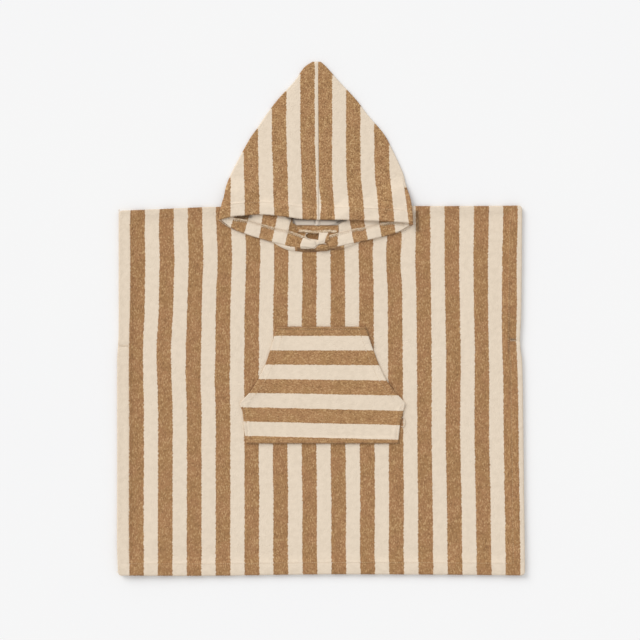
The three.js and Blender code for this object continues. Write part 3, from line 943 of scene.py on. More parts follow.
def hood_half(name, half, material):
    """One half of the hood: each row runs out over the top, round the side fold and back below."""
    side = half["side"]
    fold, top, under = hood_plan(half)
    hem = hem_along(half["lip"], fold[:, 0], fold[:, 1])
    fold_under = hood_under(fold[:, 0], fold[:, 1])
    cover = cover_under(half, fold[:, 0], fold[:, 1]) + CLOTH + hem
    fold_top = np.maximum(cover, fold_under + 2 * (CLOTH + hem) + LAYER_GAP)
    radius = (fold_top - fold_under) / 2
    inner_radius = np.clip(radius - CLOTH - hem, LAYER_GAP / 2, MOUTH["gap"] / 2)
    inset_x = fold[:, 0] - side * radius
    s_top = np.linspace(0, 1, TOP_COLUMNS + 1)
    s_under = np.linspace(0, 1, UNDER_COLUMNS + 1)
    top = top.copy()
    under = under.copy()
    top[..., 0] += (inset_x - top[:, -1, 0])[:, None] * s_top ** 3
    under[..., 0] += (inset_x - under[:, 0, 0])[:, None] * (1 - s_under) ** 3

    near = ease(FOLD_NEAR["top"], 1, s_top)
    x, y = top[..., 0], top[..., 1]
    cover = cover_under(half, x, y)
    thick = CLOTH + hem_along(half["brim"], x, y)
    stitch = brim_groove(half, x, y)
    seam_dip = groove(x - seam_x(y), SEAM_DIP["half"], SEAM_DIP["depth"])
    outer_z = mix(cover + thick - stitch - seam_dip, fold_top[:, None], near)
    inner_dip = SEAM_DIP["inner_share"] * seam_dip
    inner_z = mix(cover - inner_dip, (fold_under + radius + inner_radius)[:, None], near)
    inner_z, outer_z = rounded(inner_z, outer_z, y - straight(half["brim"], "x", "y", x), EDGE_ROUND)
    outer = [np.stack([x, y, outer_z], -1)]
    inner = [np.stack([x, y, inner_z], -1)]

    turn = np.radians(np.linspace(90, -90, FOLD_STEPS + 2)[1:-1])
    middle = fold_under + radius
    for ring, r in ((outer, radius), (inner, inner_radius)):
        fold_x = inset_x[:, None] + side * r[:, None] * np.cos(turn)
        fold_z = middle[:, None] + r[:, None] * np.sin(turn)
        ring.append(np.stack([fold_x, np.broadcast_to(fold[:, 1:2], fold_x.shape), fold_z], -1))

    near = ease(FOLD_NEAR["under"], 0, s_under)
    x, y = under[..., 0], under[..., 1]
    low_z = mix(hood_under(x, y), fold_under[:, None], near)
    high_z = mix(under_face(half, x, y), (middle - inner_radius)[:, None], near)
    low_z, high_z = rounded(low_z, high_z, y - straight(half["lip"], "x", "y", x), EDGE_ROUND)
    outer.append(np.stack([x, y, low_z], -1))
    inner.append(np.stack([x, y, high_z], -1))

    outer = np.concatenate(outer, 1)
    inner = np.concatenate(inner, 1)
    end = fullness(HALF_LENGTH - outer[..., 1], PEAK_ROUND)
    level = (fold_top + fold_under)[:, None] / 2
    outer[..., 2] = level + (outer[..., 2] - level) * end
    inner[..., 2] = level + (inner[..., 2] - level) * end

    top_stripes = hood_stripe(half, top[..., 0], top[..., 1])
    under_stripes = lip_stripe(half, under[..., 0], under[..., 1])
    turned = np.arange(FOLD_STEPS) < TURNED_STEPS
    fold_stripes = np.where(turned[None, :, None], top_stripes[:, -1:], under_stripes[:, :1])
    stripes = np.concatenate([top_stripes, fold_stripes, under_stripes], 1)
    top_shade = line_shade(HOOD_TOP_SHADE, top[..., 0], top[..., 1])
    under_shade = line_shade(HOOD_UNDER_SHADE, under[..., 0], under[..., 1])
    shade = np.concatenate([top_shade, np.zeros(fold_x.shape), under_shade], 1)
    return wall(name, outer, inner, stripes, stripes, shade, material)


# Pocket

# Rows and columns crowd near the pocket's edges; the columns are laid out over a nominal width
POCKET_INSETS = [0, 0.25, 0.7, 1.4, 2.0, 2.8, 3.8, 5.2, 7.0, 8.6, 10.4, 12.2, 14.4]
POCKET_WIDTH = 200.0
POCKET_ROW_STEP = 2.2
POCKET_COLUMN_STEP = 2.6


def pocket_sides(y):
    """Left and right edge of the pocket at a height."""
    return straight(POCKET, "y", "left", y), straight(POCKET, "y", "right", y)


def pocket_edge(x, y):
    """Distance in from the nearest edge of the pocket."""
    left, right = pocket_sides(y)
    return np.minimum(np.minimum(x - left, right - x), np.minimum(POCKET_TOP - y, y - POCKET_FOOT))


def pocket_rise(x, y):
    """Folded edges less the troughs where they are sewn down; the openings' folds are wider and softer."""
    left, right = pocket_sides(y)
    side_inset = np.minimum(x - left, right - x)
    opening = ease(POCKET_WIDEST - OPENING_TURN, POCKET_WIDEST + OPENING_TURN, y)
    hem = mix(POCKET_FOLD, POCKET_OPENING_HEM, opening)
    ramp = mix(FOLD_RAMP, OPENING_RAMP, opening)
    sides = band(side_inset, hem, ramp) * mix(SIDE_RISE, OPENING_RISE, opening)
    ends = band(np.minimum(POCKET_TOP - y, y - POCKET_FOOT), POCKET_FOLD, FOLD_RAMP)
    rise = FOLD_RISE * np.maximum(sides, ends)
    half = POCKET_GROOVE["half"]
    sewn = np.maximum(
        groove(POCKET_TOP - y - POCKET_SEWN, half, POCKET_GROOVE["top"]),
        groove(y - POCKET_FOOT - POCKET_FOOT_SEWN, half, POCKET_GROOVE["foot"]),
    )
    sewn = np.maximum(sewn, groove(side_inset - POCKET_SEWN, half, POCKET_GROOVE["sides"]) * (1 - opening))
    hem_line = groove(side_inset - POCKET_OPENING_HEM + 1, half, POCKET_GROOVE["opening"]) * opening
    return rise - sewn - hem_line


def pocket_lift(x, y):
    """The openings gape: a bell up the slanted edge and another inwards from it."""
    left, right = pocket_sides(y)
    side_inset = np.clip(np.minimum(x - left, right - x), 0, None)
    along = np.exp(-((y - POCKET_GAPE["y"]) / POCKET_GAPE["height"]) ** 2)
    return POCKET_GAPE["rise"] * along * np.exp(-(side_inset / POCKET_GAPE["reach"]) ** 2)


def pocket_under(x, y):
    """Lower face of the pocket: a gap over the front, with the openings' lift and a slight bulge."""
    left, right = pocket_sides(y)
    u = np.clip((x - left) / (right - left), 0, 1)
    v = np.clip((POCKET_TOP - y) / (POCKET_TOP - POCKET_FOOT), 0, 1)
    bulge = POCKET_BULGE * np.sin(np.pi * u) * np.sin(np.pi * v)
    return front_top(x, y) + GAP + pocket_lift(x, y) + bulge


def pocket_top(x, y):
    """Upper face of the pocket."""
    return pocket_under(x, y) + CLOTH + pocket_rise(x, y)


def pocket_piece(name, material):
    """The pocket: rows from top to foot, columns from edge to edge, crowded near the edges."""
    reach = POCKET_INSETS[-1]
    down = inset_series(0.0, POCKET_TOP - POCKET_FOOT, POCKET_INSETS, POCKET_ROW_STEP)
    y = (POCKET_TOP - down)[:, None]
    left, right = pocket_sides(y)
    along = inset_series(0.0, POCKET_WIDTH, POCKET_INSETS, POCKET_COLUMN_STEP)
    inset = np.minimum(along, POCKET_WIDTH - along)
    u = np.clip((along - reach) / (POCKET_WIDTH - 2 * reach), 0, 1)
    x = np.where(along < reach, left + inset, mix(left + reach, right - reach, u))
    x = np.where(along > POCKET_WIDTH - reach, right - inset, x)
    y = np.broadcast_to(y, x.shape)
    edge = pocket_edge(x, y)
    low, high = rounded(pocket_under(x, y), pocket_top(x, y), edge, EDGE_ROUND)
    stripes = pocket_stripe(x, y)
    near_edge = EDGE_SHADE["dark"] * band(edge, 0, EDGE_SHADE["pocket"])
    shade = np.maximum(near_edge, line_shade(POCKET_SHADE, x, y))
    return slab(name, x, y, low, high, stripes, shade, material)


# Small shells in the neck

# Stripe coordinates in the middle of a tan stripe and of a cream one
TAN_MIDDLE = 0.25
CREAM_MIDDLE = 0.75
TAPE = {"from": -42.0, "to": 34.5, "low": 136.9, "high": 146.5, "thick": 0.8}
# How far the tape's lower edge rises at its ends
TAPE_ENDS = {"left": 3.5, "right": 7.2}
# The hood's seam runs on below the tape: a lump with a dip on each side of it
SEAM_LUMP = {"x": -5.6, "half": 2.6, "rise": 2.4, "dip_out": 5.0, "dip_half": 2.0, "dip": 0.5}
# Painted shadow of the brim on the tape: how dark, how far down in the middle, and what it gains outwards
TAPE_BRIM_SHADOW = {"dark": 0.75, "down": 1.3, "gain": 3.4, "half": 38.0}
# Painted shade along lines in the neck: on the tape, the allowance, the hems' crossing and the seam's roll
TAPE_SHADE = table(
    "x y to_x to_y width dark",
    (-10, 147, -9, 140.5, 1.3, 0.5),
    (-1.4, 147, -1.6, 143.5, 1.2, 0.4),
    (-34, 137.2, -10, 137, 0.9, 0.4),
    (24, 141.8, 35, 145.8, 2.2, 0.8),
    (13, 137, 28, 140.6, 1.0, 0.5),
    (-42, 147, -39.5, 138, 2.4, 0.8),
)
ALLOWANCE_SHADE = table(
    "x y to_x to_y width dark",
    (-33, 136.8, 24, 137, 1.0, 0.45),
    (-34, 136.5, -29, 135, 1.8, 0.5),
)
CROSSING_SHADE = table(
    "x y to_x to_y width dark",
    (-8.6, 112, -6.8, 106.5, 1.2, 0.25),
    (-7.5, 110.5, 3.6, 113.4, 0.9, 0.14),
)
RIDGE_SHADE = table(
    "x y to_x to_y width dark",
    (-33, 102, -8, 99.5, 3.2, 0.6),
    (16, 102.5, 28, 104.5, 1.8, 0.45),
)
# Roll below the lip: how far it is tucked under it, how far it reaches out, and its own stripe coordinate
RIDGE_TUCK = 2.5
RIDGE = table(
    "x reach across",
    (-72, 0.3, 0.7),
    (-64, 3.2, 0.74),
    (-57, 5.0, 0.8),
    (-48, 6.1, 0.9),
    (-39, 6.0, 0.985),
    (-37, 5.6, 1.03),
    (-28, 5.2, 1.2),
    (-8, 5.0, 1.35),
    (14, 4.0, 1.35),
    (24, 5.4, 1.4),
    (33.6, 5.0, 1.49),
    (35, 4.8, 1.53),
    (46, 3.2, 1.7),
    (58, 0.3, 1.8),
)

ALLOWANCE = {"from": -35.0, "to": 25.5, "low": 125.6, "high": 137.4, "thick": 1.5}
# Below this height the allowance hangs free over the neck hole
HOLE_TOP_Y = 128.5
BRIM_BOTH = {key: np.concatenate([LEFT["brim"][key][::-1], RIGHT["brim"][key]]) for key in ("x", "y")}
# Steps of the grid over which the edges of a small shell are drawn together
PATCH_ROUND = 2.5


def patch_shell(name, x, y, low, high, stripes, material, shade):
    """A small slab over a grid of plan points, its edges drawn together over a few steps of the grid."""
    rows, columns = x.shape
    r, c = np.meshgrid(np.linspace(0, 1, rows), np.linspace(0, 1, columns), indexing="ij")
    to_edge = np.minimum(np.minimum(r, 1 - r) * rows, np.minimum(c, 1 - c) * columns)
    low, high = rounded(low, high, to_edge, PATCH_ROUND)
    return slab(name, x, y, low, high, stripes, shade, material)


def neck_floor(x, y):
    """Upper face of what lies in the neck: the under layer of whichever half the point is in."""
    return np.where(x < seam_x(y), under_face(LEFT, x, y), under_face(RIGHT, x, y))


def tape_piece(name, material):
    """The neck tape: a strip over the seam's lump, whose lower edge rises at both ends."""
    u, v = np.meshgrid(np.linspace(0, 1, 60), np.linspace(0, 1, 12))
    x = mix(TAPE["from"], TAPE["to"], u)
    ends = TAPE_ENDS["right"] * ease(0.8, 1, u) ** 1.5 + TAPE_ENDS["left"] * ease(0.1, 0, u)
    y = mix(TAPE["low"] + ends, TAPE["high"], v)
    from_seam = x - SEAM_LUMP["x"]
    dips = groove(np.abs(from_seam) - SEAM_LUMP["dip_out"], SEAM_LUMP["dip_half"], SEAM_LUMP["dip"])
    lump = SEAM_LUMP["rise"] * np.exp(-(from_seam / SEAM_LUMP["half"]) ** 2) - dips
    low = neck_floor(x, y) + GAP + lump
    high = low + TAPE["thick"] + 0.25 * np.sin(np.pi * v)
    stripes = np.stack([x / STRIPE_PERIOD, y / STRIPE_PERIOD], -1)
    # Painted shadow under the brim, reaching further down towards the ends, and painted shade along the lines
    # of TAPE_SHADE
    under_brim = np.maximum(straight(BRIM_BOTH, "x", "y", x) - y, 0)
    fade = TAPE_BRIM_SHADOW["down"] + TAPE_BRIM_SHADOW["gain"] * ((x - NECK["x"]) / TAPE_BRIM_SHADOW["half"]) ** 2
    shade = np.maximum(TAPE_BRIM_SHADOW["dark"] * np.exp(-(under_brim / fade) ** 2), line_shade(TAPE_SHADE, x, y))
    return patch_shell(name, x, y, low, high, stripes, material, shade)


def allowance_edge(x):
    """Loose lower edge of the allowance: a slow wave that rises at both ends."""
    u = (x - ALLOWANCE["from"]) / (ALLOWANCE["to"] - ALLOWANCE["from"])
    return ALLOWANCE["low"] + 0.8 * np.sin(x / 5.5) + 1.6 * ease(0.86, 1, u) + 1.2 * ease(0.12, 0, u)


def allowance_top(x, y):
    """Upper face of the allowance, level where it hangs over the neck hole."""
    return neck_floor(x, np.maximum(y, HOLE_TOP_Y)) + ALLOWANCE["thick"]


def allowance_piece(name, material):
    """The back neck's seam allowance: a tan strip below the tape, its loose edge hanging over the hole."""
    u, v = np.meshgrid(np.linspace(0, 1, 70), np.linspace(0, 1, 16))
    x = mix(ALLOWANCE["from"], ALLOWANCE["to"], u)
    y = mix(allowance_edge(x), ALLOWANCE["high"], v)
    hanging = neck_floor(x, np.full_like(y, HOLE_TOP_Y)) - 0.4
    low = np.maximum(neck_floor(x, y) + 0.15, hanging) + 0.35 * np.sin(x / 4.1 + 2) * (1 - v)
    high = low + ALLOWANCE["thick"]
    stripes = plain_stripe(TAN_MIDDLE, x, y - ALLOWANCE["low"] - 6)
    return patch_shell(name, x, y, low, high, stripes, material, line_shade(ALLOWANCE_SHADE, x, y))


# Where the two hem ends cross at the centre front: lower and upper edge of two lobes, with a pinch between
CROSSING = table(
    "x low high",
    (-30.6, 105.4, 108.6),
    (-26.7, 105.2, 117.6),
    (-22.3, 105.0, 117.4),
    (-16.4, 103.8, 115.0),
    (-11.9, 103.2, 114.8),
    (-8.3, 106.2, 113.4),
    (-5.4, 108.4, 114),
    (-3.9, 108.6, 115.6),
    (-3.1, 109.0, 126.4),
    (1.3, 109.6, 126.8),
    (4.0, 110.2, 126.8),
    (5.4, 111.0, 126.8),
    (8, 113.0, 126.8),
    (12, 116.0, 126.8),
)
PINCH = {"x": -7.6, "half": 4.5}
# Where the crossing turns from cream to tan at its right
CROSSING_TAN = table("y x", (106, 4.2), (110.8, 5), (118.2, 6.8), (125.5, 10.2))

# Rounded end of the front neck seam: its ends, its foot, its height in plan and its rise
SEAM_END = {"left": -9.5, "right": 14.8, "foot_y": 99.0, "height": 10.5, "rise": 5.2}


def plain_stripe(middle, along, across):
    """Stripe coordinates for a small piece cut from one colour: they stay close to the middle of a stripe."""
    return np.stack([middle + across / STRIPE_PERIOD, along / STRIPE_PERIOD], -1)


def crossing_piece(name, material):
    """Ends of the two hems where they cross at the centre front: lobes, full in the middle, with a pinch.

    Across the border CROSSING_TAN the stripe coordinate climbs by half a period, from cream to tan.
    """
    u, v = np.meshgrid(np.linspace(0, 1, 56), np.linspace(0, 1, 26))
    x = mix(CROSSING["x"][0], CROSSING["x"][-1], u)
    y = mix(smooth(CROSSING, "x", "low", x), smooth(CROSSING, "x", "high", x), v)
    lobe = 1 - np.exp(-((x - PINCH["x"]) / PINCH["half"]) ** 2)
    low = soften(neck_floor(x, y), 6) + 0.2
    high = low + 1.5 + 1.5 * lobe * np.sin(np.pi * v) * np.sin(np.pi * np.clip(u, 0.04, 0.96))
    past_border = np.clip(x - straight(CROSSING_TAN, "y", "x", y) + 3, 0, 6) / 12
    stripes = np.stack([CREAM_MIDDLE + past_border, y / STRIPE_PERIOD], -1)
    return patch_shell(name, x, y, low, high, stripes, material, line_shade(CROSSING_SHADE, x, y))


def ridge_piece(name, material):
    """Roll of the front neck seam that peeps out below the lip: widest near the centre, thin at both ends."""
    u, v = np.meshgrid(np.linspace(0, 1, 110), np.linspace(0, 1, 12))
    x = mix(RIDGE["x"][0], RIDGE["x"][-1], u)
    reach = smooth(RIDGE, "x", "reach", x)
    y = lip_edge(x) + RIDGE_TUCK - v * (reach + RIDGE_TUCK)
    low = front_top(x, y) + 0.15
    high = low + 0.3 + 0.32 * (reach + 1) * np.sin(np.pi * np.clip(0.1 + 0.85 * v, 0, 1))
    stripes = np.stack([straight(RIDGE, "x", "across", x), y / STRIPE_PERIOD], -1)
    return patch_shell(name, x, y, low, high, stripes, material, line_shade(RIDGE_SHADE, x, y))


def bump_piece(name, material):
    """Rounded end of the front neck seam below the crossing: half an ellipsoid, with painted shade at its rim
    and a little over all of it.
    """
    u, v = np.meshgrid(np.linspace(0, 1, 34), np.linspace(0, 1, 22))
    x = mix(SEAM_END["left"], SEAM_END["right"], u) + 1.5 * (v - 0.5)
    dome = np.sqrt(np.maximum(1 - (2 * u - 1) ** 2, 0.02))
    y = SEAM_END["foot_y"] + 3.0 * (1 - dome) + v * (SEAM_END["height"] * dome + 1.0)
    low = np.maximum(front_top(x, y), 0) + 0.2
    across = np.sqrt(np.maximum(np.sin(np.pi * np.clip(v * 0.9 + 0.08, 0, 1)), 0.02))
    high = low + 0.4 + SEAM_END["rise"] * dome * across
    # Painted shade at its foot, at its top rim under the crossing and round the dome's edge, on a slight even
    # darkening
    foot_shade = 0.35 * (1 - np.sqrt(np.sin(np.pi * np.clip(v, 0.1, 0.5))))
    top_shade = 0.4 * np.exp(-((1 - v) / 0.14) ** 2)
    shade = 0.1 + foot_shade + top_shade + 0.25 * (1 - dome)
    return patch_shell(name, x, y, low, high, plain_stripe(TAN_MIDDLE, x, y - 104), material, shade)


# Threads and pile: many small spindles joined in one mesh

SPINDLE_SIDES = 4
# Share of the full radius at each ring of a spindle
SPINDLE_SHAPE = np.array([0.25, 1.0, 0.9, 0.2])
THREAD_RADIUS = 0.42
# Ends of each armhole's bar tack, and of a row of dark spindles above the right one: painted shadow in the
# slot that it pulls open
TACKS = {"left": (-296.5, -284.5), "right": (278.5, 287.0)}
TACK_HALF_HEIGHT = 1.3
SLOT_SHADOW = {"from": 277.8, "to": 285.2, "above": 2.2, "radius": 0.65, "dark": 0.7}
# Loose loop of thread beside the pocket: its centre, half width and half height, and its radius
THREAD_LOOP = {"x": 120.2, "y": -152.5, "half_width": 3.2, "half_height": 7.2, "radius": 0.75}


def spindles(name, starts, ends, radius, lift, stripes, material, shade=None):
    """Spindles from start to end points: rings of four corners along each line, thin at both ends and arched.

    Each ring's corners lie round the line at the radius, by the cosine and sine of their turn along a level
    normal and an upright one. The arch is the lift times sin(pi t).
    """
    t = np.linspace(0, 1, len(SPINDLE_SHAPE))
    direction = ends - starts
    length = np.linalg.norm(direction, axis=1, keepdims=True)
    direction = direction / np.maximum(length, 1e-6)
    flat = np.stack([-direction[:, 1], direction[:, 0], np.zeros(len(direction))], -1)
    flat = flat + np.where(np.abs(direction[:, 2:]) > 0.99, [[1.0, 0, 0]], [[0.0, 0, 0]])
    flat /= np.maximum(np.linalg.norm(flat, axis=1, keepdims=True), 1e-6)
    upright = np.cross(flat, direction)
    centres = starts[:, None] + (ends - starts)[:, None] * t[None, :, None]
    centres[..., 2] += np.asarray(lift).reshape(-1, 1) * np.sin(np.pi * t)[None]
    turn = 2 * np.pi * np.arange(SPINDLE_SIDES) / SPINDLE_SIDES + 0.4
    ring = flat[:, None] * np.cos(turn)[None, :, None] + upright[:, None] * np.sin(turn)[None, :, None]
    size = np.asarray(radius).reshape(-1, 1, 1, 1) * SPINDLE_SHAPE[None, :, None, None]
    points = centres[:, :, None] + size * ring[:, None]
    count, rings = len(starts), len(SPINDLE_SHAPE)
    k = np.arange(SPINDLE_SIDES)
    j = np.arange(rings - 1)[:, None]
    here, there = j * SPINDLE_SIDES, (j + 1) * SPINDLE_SIDES
    turned = (k + 1) % SPINDLE_SIDES
    quad = np.stack([here + k, here + turned, there + turned, there + k], -1).reshape(-1, 4)
    caps = np.stack([k[::-1], (rings - 1) * SPINDLE_SIDES + k])
    one = np.concatenate([quad, caps])
    if enclosed(points[0].reshape(-1, 3) - starts[0], one) < 0:
        one = one[:, ::-1]
    quads = (np.arange(count)[:, None, None] * rings * SPINDLE_SIDES + one[None]).reshape(-1, 4)
    each = np.repeat(stripes, rings * SPINDLE_SIDES, axis=0)
    dark = np.repeat(np.zeros(count) if shade is None else shade, rings * SPINDLE_SIDES)
    return add_mesh(name, points.reshape(-1, 3), quads, each, dark, material)


def spaced(path, step):
    """Points at even steps along a path given as many points."""
    length = np.concatenate([[0], np.cumsum(np.linalg.norm(np.diff(path, axis=0), axis=1))])
    at = np.arange(0, length[-1], step)
    return np.stack([np.interp(at, length, path[:, k]) for k in range(path.shape[1])], -1)


def lifted(points, height_of, above=0.0):
    """Plan points given the height of a face, moved up."""
    z = height_of(points[:, 0], points[:, 1]) + above
    return np.column_stack([points, z])


def stitch_row(path, height_of, step=3.2, share=0.74, above=0.12):
    """Starts and ends of a row of running stitches that lie on a face."""
    points = spaced(path, step)
    starts, ends = points[:-1], mix(points[:-1], points[1:], share)
    return lifted(starts, height_of, above), lifted(ends, height_of, above)


def overlock_row(path, height_of, inward, step=1.25, above=0.3):
    """Starts and ends of an overlocked edge: a zigzag of threads between the edge and a line inside it."""
    points = spaced(path, step)
    tangent = np.gradient(points, axis=0)
    normal = np.stack([-tangent[:, 1], tangent[:, 0]], -1)
    normal /= np.maximum(np.linalg.norm(normal, axis=1, keepdims=True), 1e-6)
    count = np.arange(len(points))[:, None]
    depth = count % 2 + 0.06 * np.sin(count * 2.3)
    zigzag = points + normal * inward * depth
    high = lifted(zigzag, height_of, above)
    return high[:-1], high[1:]


def joined(rows):
    """Several rows of starts and ends put end to end."""
    return np.concatenate([a for a, _ in rows]), np.concatenate([b for _, b in rows])


def hem_stitches(name, material):
    """Rows of stitches in the hem grooves of the front: along the foot and up both sides."""
    x = np.linspace(-HALF_WIDTH + HEM_STITCH, HALF_WIDTH - HEM_STITCH, 300)
    foot = np.stack([x, hem_y(x) + HEM_STITCH], -1)
    y = np.linspace(-HALF_LENGTH + HEM_STITCH, 150, 300)
    left = np.stack([smooth(SIDES, "y", "left", y) + straight(SIDE_STITCH, "y", "left", y), y], -1)
    right = np.stack([smooth(SIDES, "y", "right", y) - straight(SIDE_STITCH, "y", "right", y), y], -1)
    starts, ends = joined([stitch_row(path, front_top) for path in (foot, left, right)])
    stripes = body_stripe(starts[:, 0], starts[:, 1])
    return spindles(name, starts, ends, THREAD_RADIUS, 0.25, stripes, material)


def tack_stitches(name, material):
    """Bar tacks at the armholes' feet: tight stitches, and a row of dark spindles, painted shadow in the slot
    that the right one pulls open.
    """
    rows = []
    for side, tack_ends in TACKS.items():
        x = np.linspace(*tack_ends, 9)
        y = np.full_like(x, ARM_FOOT_Y[side])
        low = np.stack([x, y - TACK_HALF_HEIGHT], -1)
        high = np.stack([x + 0.6, y + TACK_HALF_HEIGHT], -1)
        rows.append((lifted(low, front_top, 0.3), lifted(high, front_top, 0.3)))
    # Dark spindles above the right tack: painted shadow in the slot it pulls open
    slot_shadow_y = np.full(4, ARM_FOOT_Y["right"] + SLOT_SHADOW["above"])
    slot_shadow = np.stack([np.linspace(SLOT_SHADOW["from"], SLOT_SHADOW["to"], 4), slot_shadow_y], -1)
    rows.append((lifted(slot_shadow[:-1], front_top, 0.3), lifted(slot_shadow[1:], front_top, 0.3)))
    starts, ends = joined(rows)
    in_slot_shadow = np.arange(len(starts)) > len(starts) - len(slot_shadow)
    stripes = body_stripe(starts[:, 0], starts[:, 1])
    radius = np.where(in_slot_shadow, SLOT_SHADOW["radius"], 0.26)
    return spindles(name, starts, ends, radius, 0.3, stripes, material, SLOT_SHADOW["dark"] * in_slot_shadow)


def level_run(y, inset):
    """Even places across the pocket at a height, an inset away from both of its sides."""
    left, right = pocket_sides(y)
    return np.linspace(left + inset, right - inset, 80)


def pocket_stitches(name, material):
    """Stitches round the pocket's sewn edges and beside its openings, and one loose loop of thread."""
    y_side = np.linspace(POCKET_WIDEST - 2, POCKET_FOOT + POCKET_SEWN, 60)
    y_open = np.linspace(POCKET_TOP - 4, POCKET_WIDEST + 4, 80)
    left_side, right_side = pocket_sides(y_side)
    left_open, right_open = pocket_sides(y_open)
    x_top = level_run(POCKET_TOP, POCKET_SEWN)
    x_foot = level_run(POCKET_FOOT, POCKET_SEWN)
    inner = POCKET_OPENING_HEM - 1
    paths = [
        np.stack([x_top, np.full_like(x_top, POCKET_TOP - POCKET_SEWN)], -1),
        np.stack([x_foot, np.full_like(x_foot, POCKET_FOOT + POCKET_FOOT_SEWN)], -1),
        np.stack([left_side + POCKET_SEWN, y_side], -1),
        np.stack([right_side - POCKET_SEWN, y_side], -1),
        np.stack([left_open + inner, y_open], -1),
        np.stack([right_open - inner, y_open], -1),
    ]
    starts, ends = joined([stitch_row(path, pocket_top) for path in paths])
    angle = np.linspace(-2.2, 2.4, 15)
    loop_x = THREAD_LOOP["x"] + THREAD_LOOP["half_width"] * np.cos(angle)
    loop_y = THREAD_LOOP["y"] + THREAD_LOOP["half_height"] * np.sin(angle)
    loop_points = lifted(np.stack([loop_x, loop_y], -1), front_top, 1.0)
    starts = np.concatenate([starts, loop_points[:-1]])
    ends = np.concatenate([ends, loop_points[1:]])
    stripes = pocket_stripe(starts[:, 0], starts[:, 1])
    stripes[-len(loop_points) + 1:] = CREAM_MIDDLE
    in_loop = np.arange(len(starts)) > len(starts) - len(loop_points)
    radius = np.where(in_loop, THREAD_LOOP["radius"], THREAD_RADIUS)
    return spindles(name, starts, ends, radius, 0.2, stripes, material)


def hood_top(half, x, y):
    """Upper face of the hood's top layer, without its seam."""
    return cover_under(half, x, y) + CLOTH + hem_along(half["brim"], x, y) - brim_groove(half, x, y)


def on_half(half, face_or_stripe):
    """A height or a stripe coordinate of one half, as a function of plan points alone."""
    return lambda x, y: face_or_stripe(half, x, y)


def brim_stitches(name, half, material):
    """Stitches in the groove above the brim of one half."""
    path = smooth_path(half["brim"])(np.linspace(0.01, 0.93, 120))
    path = path + [0, BRIM_HEM - 1]
    starts, ends = stitch_row(path, on_half(half, hood_top))
    return spindles(name, starts, ends, 0.3, 0.1, hood_stripe(half, starts[:, 0], starts[:, 1]), material)


# Loose edge of each lip's hem, seen inside the hood
LEFT_OVERLOCK = table(
    "x y",
    (-140, 149),
    (-119, 146),
    (-105, 143.8),
    (-87, 138.5),
    (-68, 133.2),
    (-44, 127.6),
    (-24, 120.2),
    (-15, 115.6),
)
RIGHT_OVERLOCK = table(
    "x y",
    (11.5, 121.8),
    (24, 125.4),
    (44.5, 130.6),
    (63, 133.8),
    (86, 140),
    (107, 141.6),
    (124, 139),
)
# Rows of overlocking: how far above its edge each starts, how far it reaches in, its step and its height
LIP_ROWS = table("up reach step above", (1.0, -2.4, 0.9, 0.5), (0.4, -4.6, 1.5, 0.5))
ALLOWANCE_ROWS = table("up reach step above", (0, 4.6, 1.0, 0.4), (0.6, 3.0, 0.8, 0.5), (2.0, 2.6, 1.4, 0.7))
# Radius and arch of the threads where they cross tan, and where they cross cream, on which they hardly show
OVERLOCK_THREAD = {"tan": (THREAD_RADIUS, 0.35), "cream": (0.2, 0.1)}


def overlock(name, material):
    """Overlocked edges: the lip's hem on both halves and the lower edge of the back neck's allowance."""
    rows = []
    for half, edge in ((LEFT, LEFT_OVERLOCK), (RIGHT, RIGHT_OVERLOCK)):
        path = smooth_path(edge)(np.linspace(0, 1, 200))
        for up, reach, step, above in zip(*LIP_ROWS.values()):
            rows.append(overlock_row(path + [0, up], on_half(half, under_face), reach, step, above))
    on_lips = sum(len(starts) for starts, _ in rows)
    x = np.linspace(ALLOWANCE["from"] + 2, ALLOWANCE["to"] - 2, 120)
    path = np.stack([x, allowance_edge(x)], -1)
    for up, reach, step, above in zip(*ALLOWANCE_ROWS.values()):
        rows.append(overlock_row(path + [0, up], allowance_top, reach, step, above))
    starts, ends = joined(rows)
    on_left = starts[:, 0] < seam_x(starts[:, 1])
    left, right = (lip_stripe(half, starts[:, 0], starts[:, 1]) for half in (LEFT, RIGHT))
    stripes = np.where(on_left[:, None], left, right)
    stripes[on_lips:] = TAN_MIDDLE
    on_tan = stripes[:, 0] % 1 < HOOD_TAN
    radius, lift = (np.where(on_tan, a, b) for a, b in zip(OVERLOCK_THREAD["tan"], OVERLOCK_THREAD["cream"]))
    return spindles(name, starts, ends, radius, lift, stripes, material)


def edge_pile(path, height_of, stripe_of, outward, step, seed, reach):
    """Loops of the pile past an edge: short lines pointing outwards, of uneven length and lean.

    Returns their starts, ends and stripe coordinates. Outward, 1 or -1, is the side of the path they are on.
    """
    random = np.random.default_rng(seed)
    points = spaced(path, step)
    tangent = np.gradient(points, axis=0)
    normal = np.stack([tangent[:, 1], -tangent[:, 0]], -1) * outward
    normal /= np.maximum(np.linalg.norm(normal, axis=1, keepdims=True), 1e-6)
    tangent /= np.maximum(np.linalg.norm(tangent, axis=1, keepdims=True), 1e-6)
    count = len(points)
    inset = random.uniform(0.4, 1.6, (count, 1))
    roots = points - normal * inset + tangent * random.uniform(-0.4, 0.4, (count, 1))
    length = reach * random.uniform(0.35, 1.0, (count, 1))
    tips = points + normal * length * 0.6 + tangent * length * random.uniform(-0.9, 0.9, (count, 1))
    level = height_of(roots[:, 0], roots[:, 1])
    low = level - random.uniform(0.6, 2.2, count)
    high = low + random.uniform(-0.5, 0.7, count)
    starts = np.column_stack([roots, np.maximum(low, 0.3)])
    ends = np.column_stack([tips, np.maximum(high, 0.3)])
    stripes = stripe_of(roots[:, 0], roots[:, 1])
    return starts, ends, stripes


# Materials

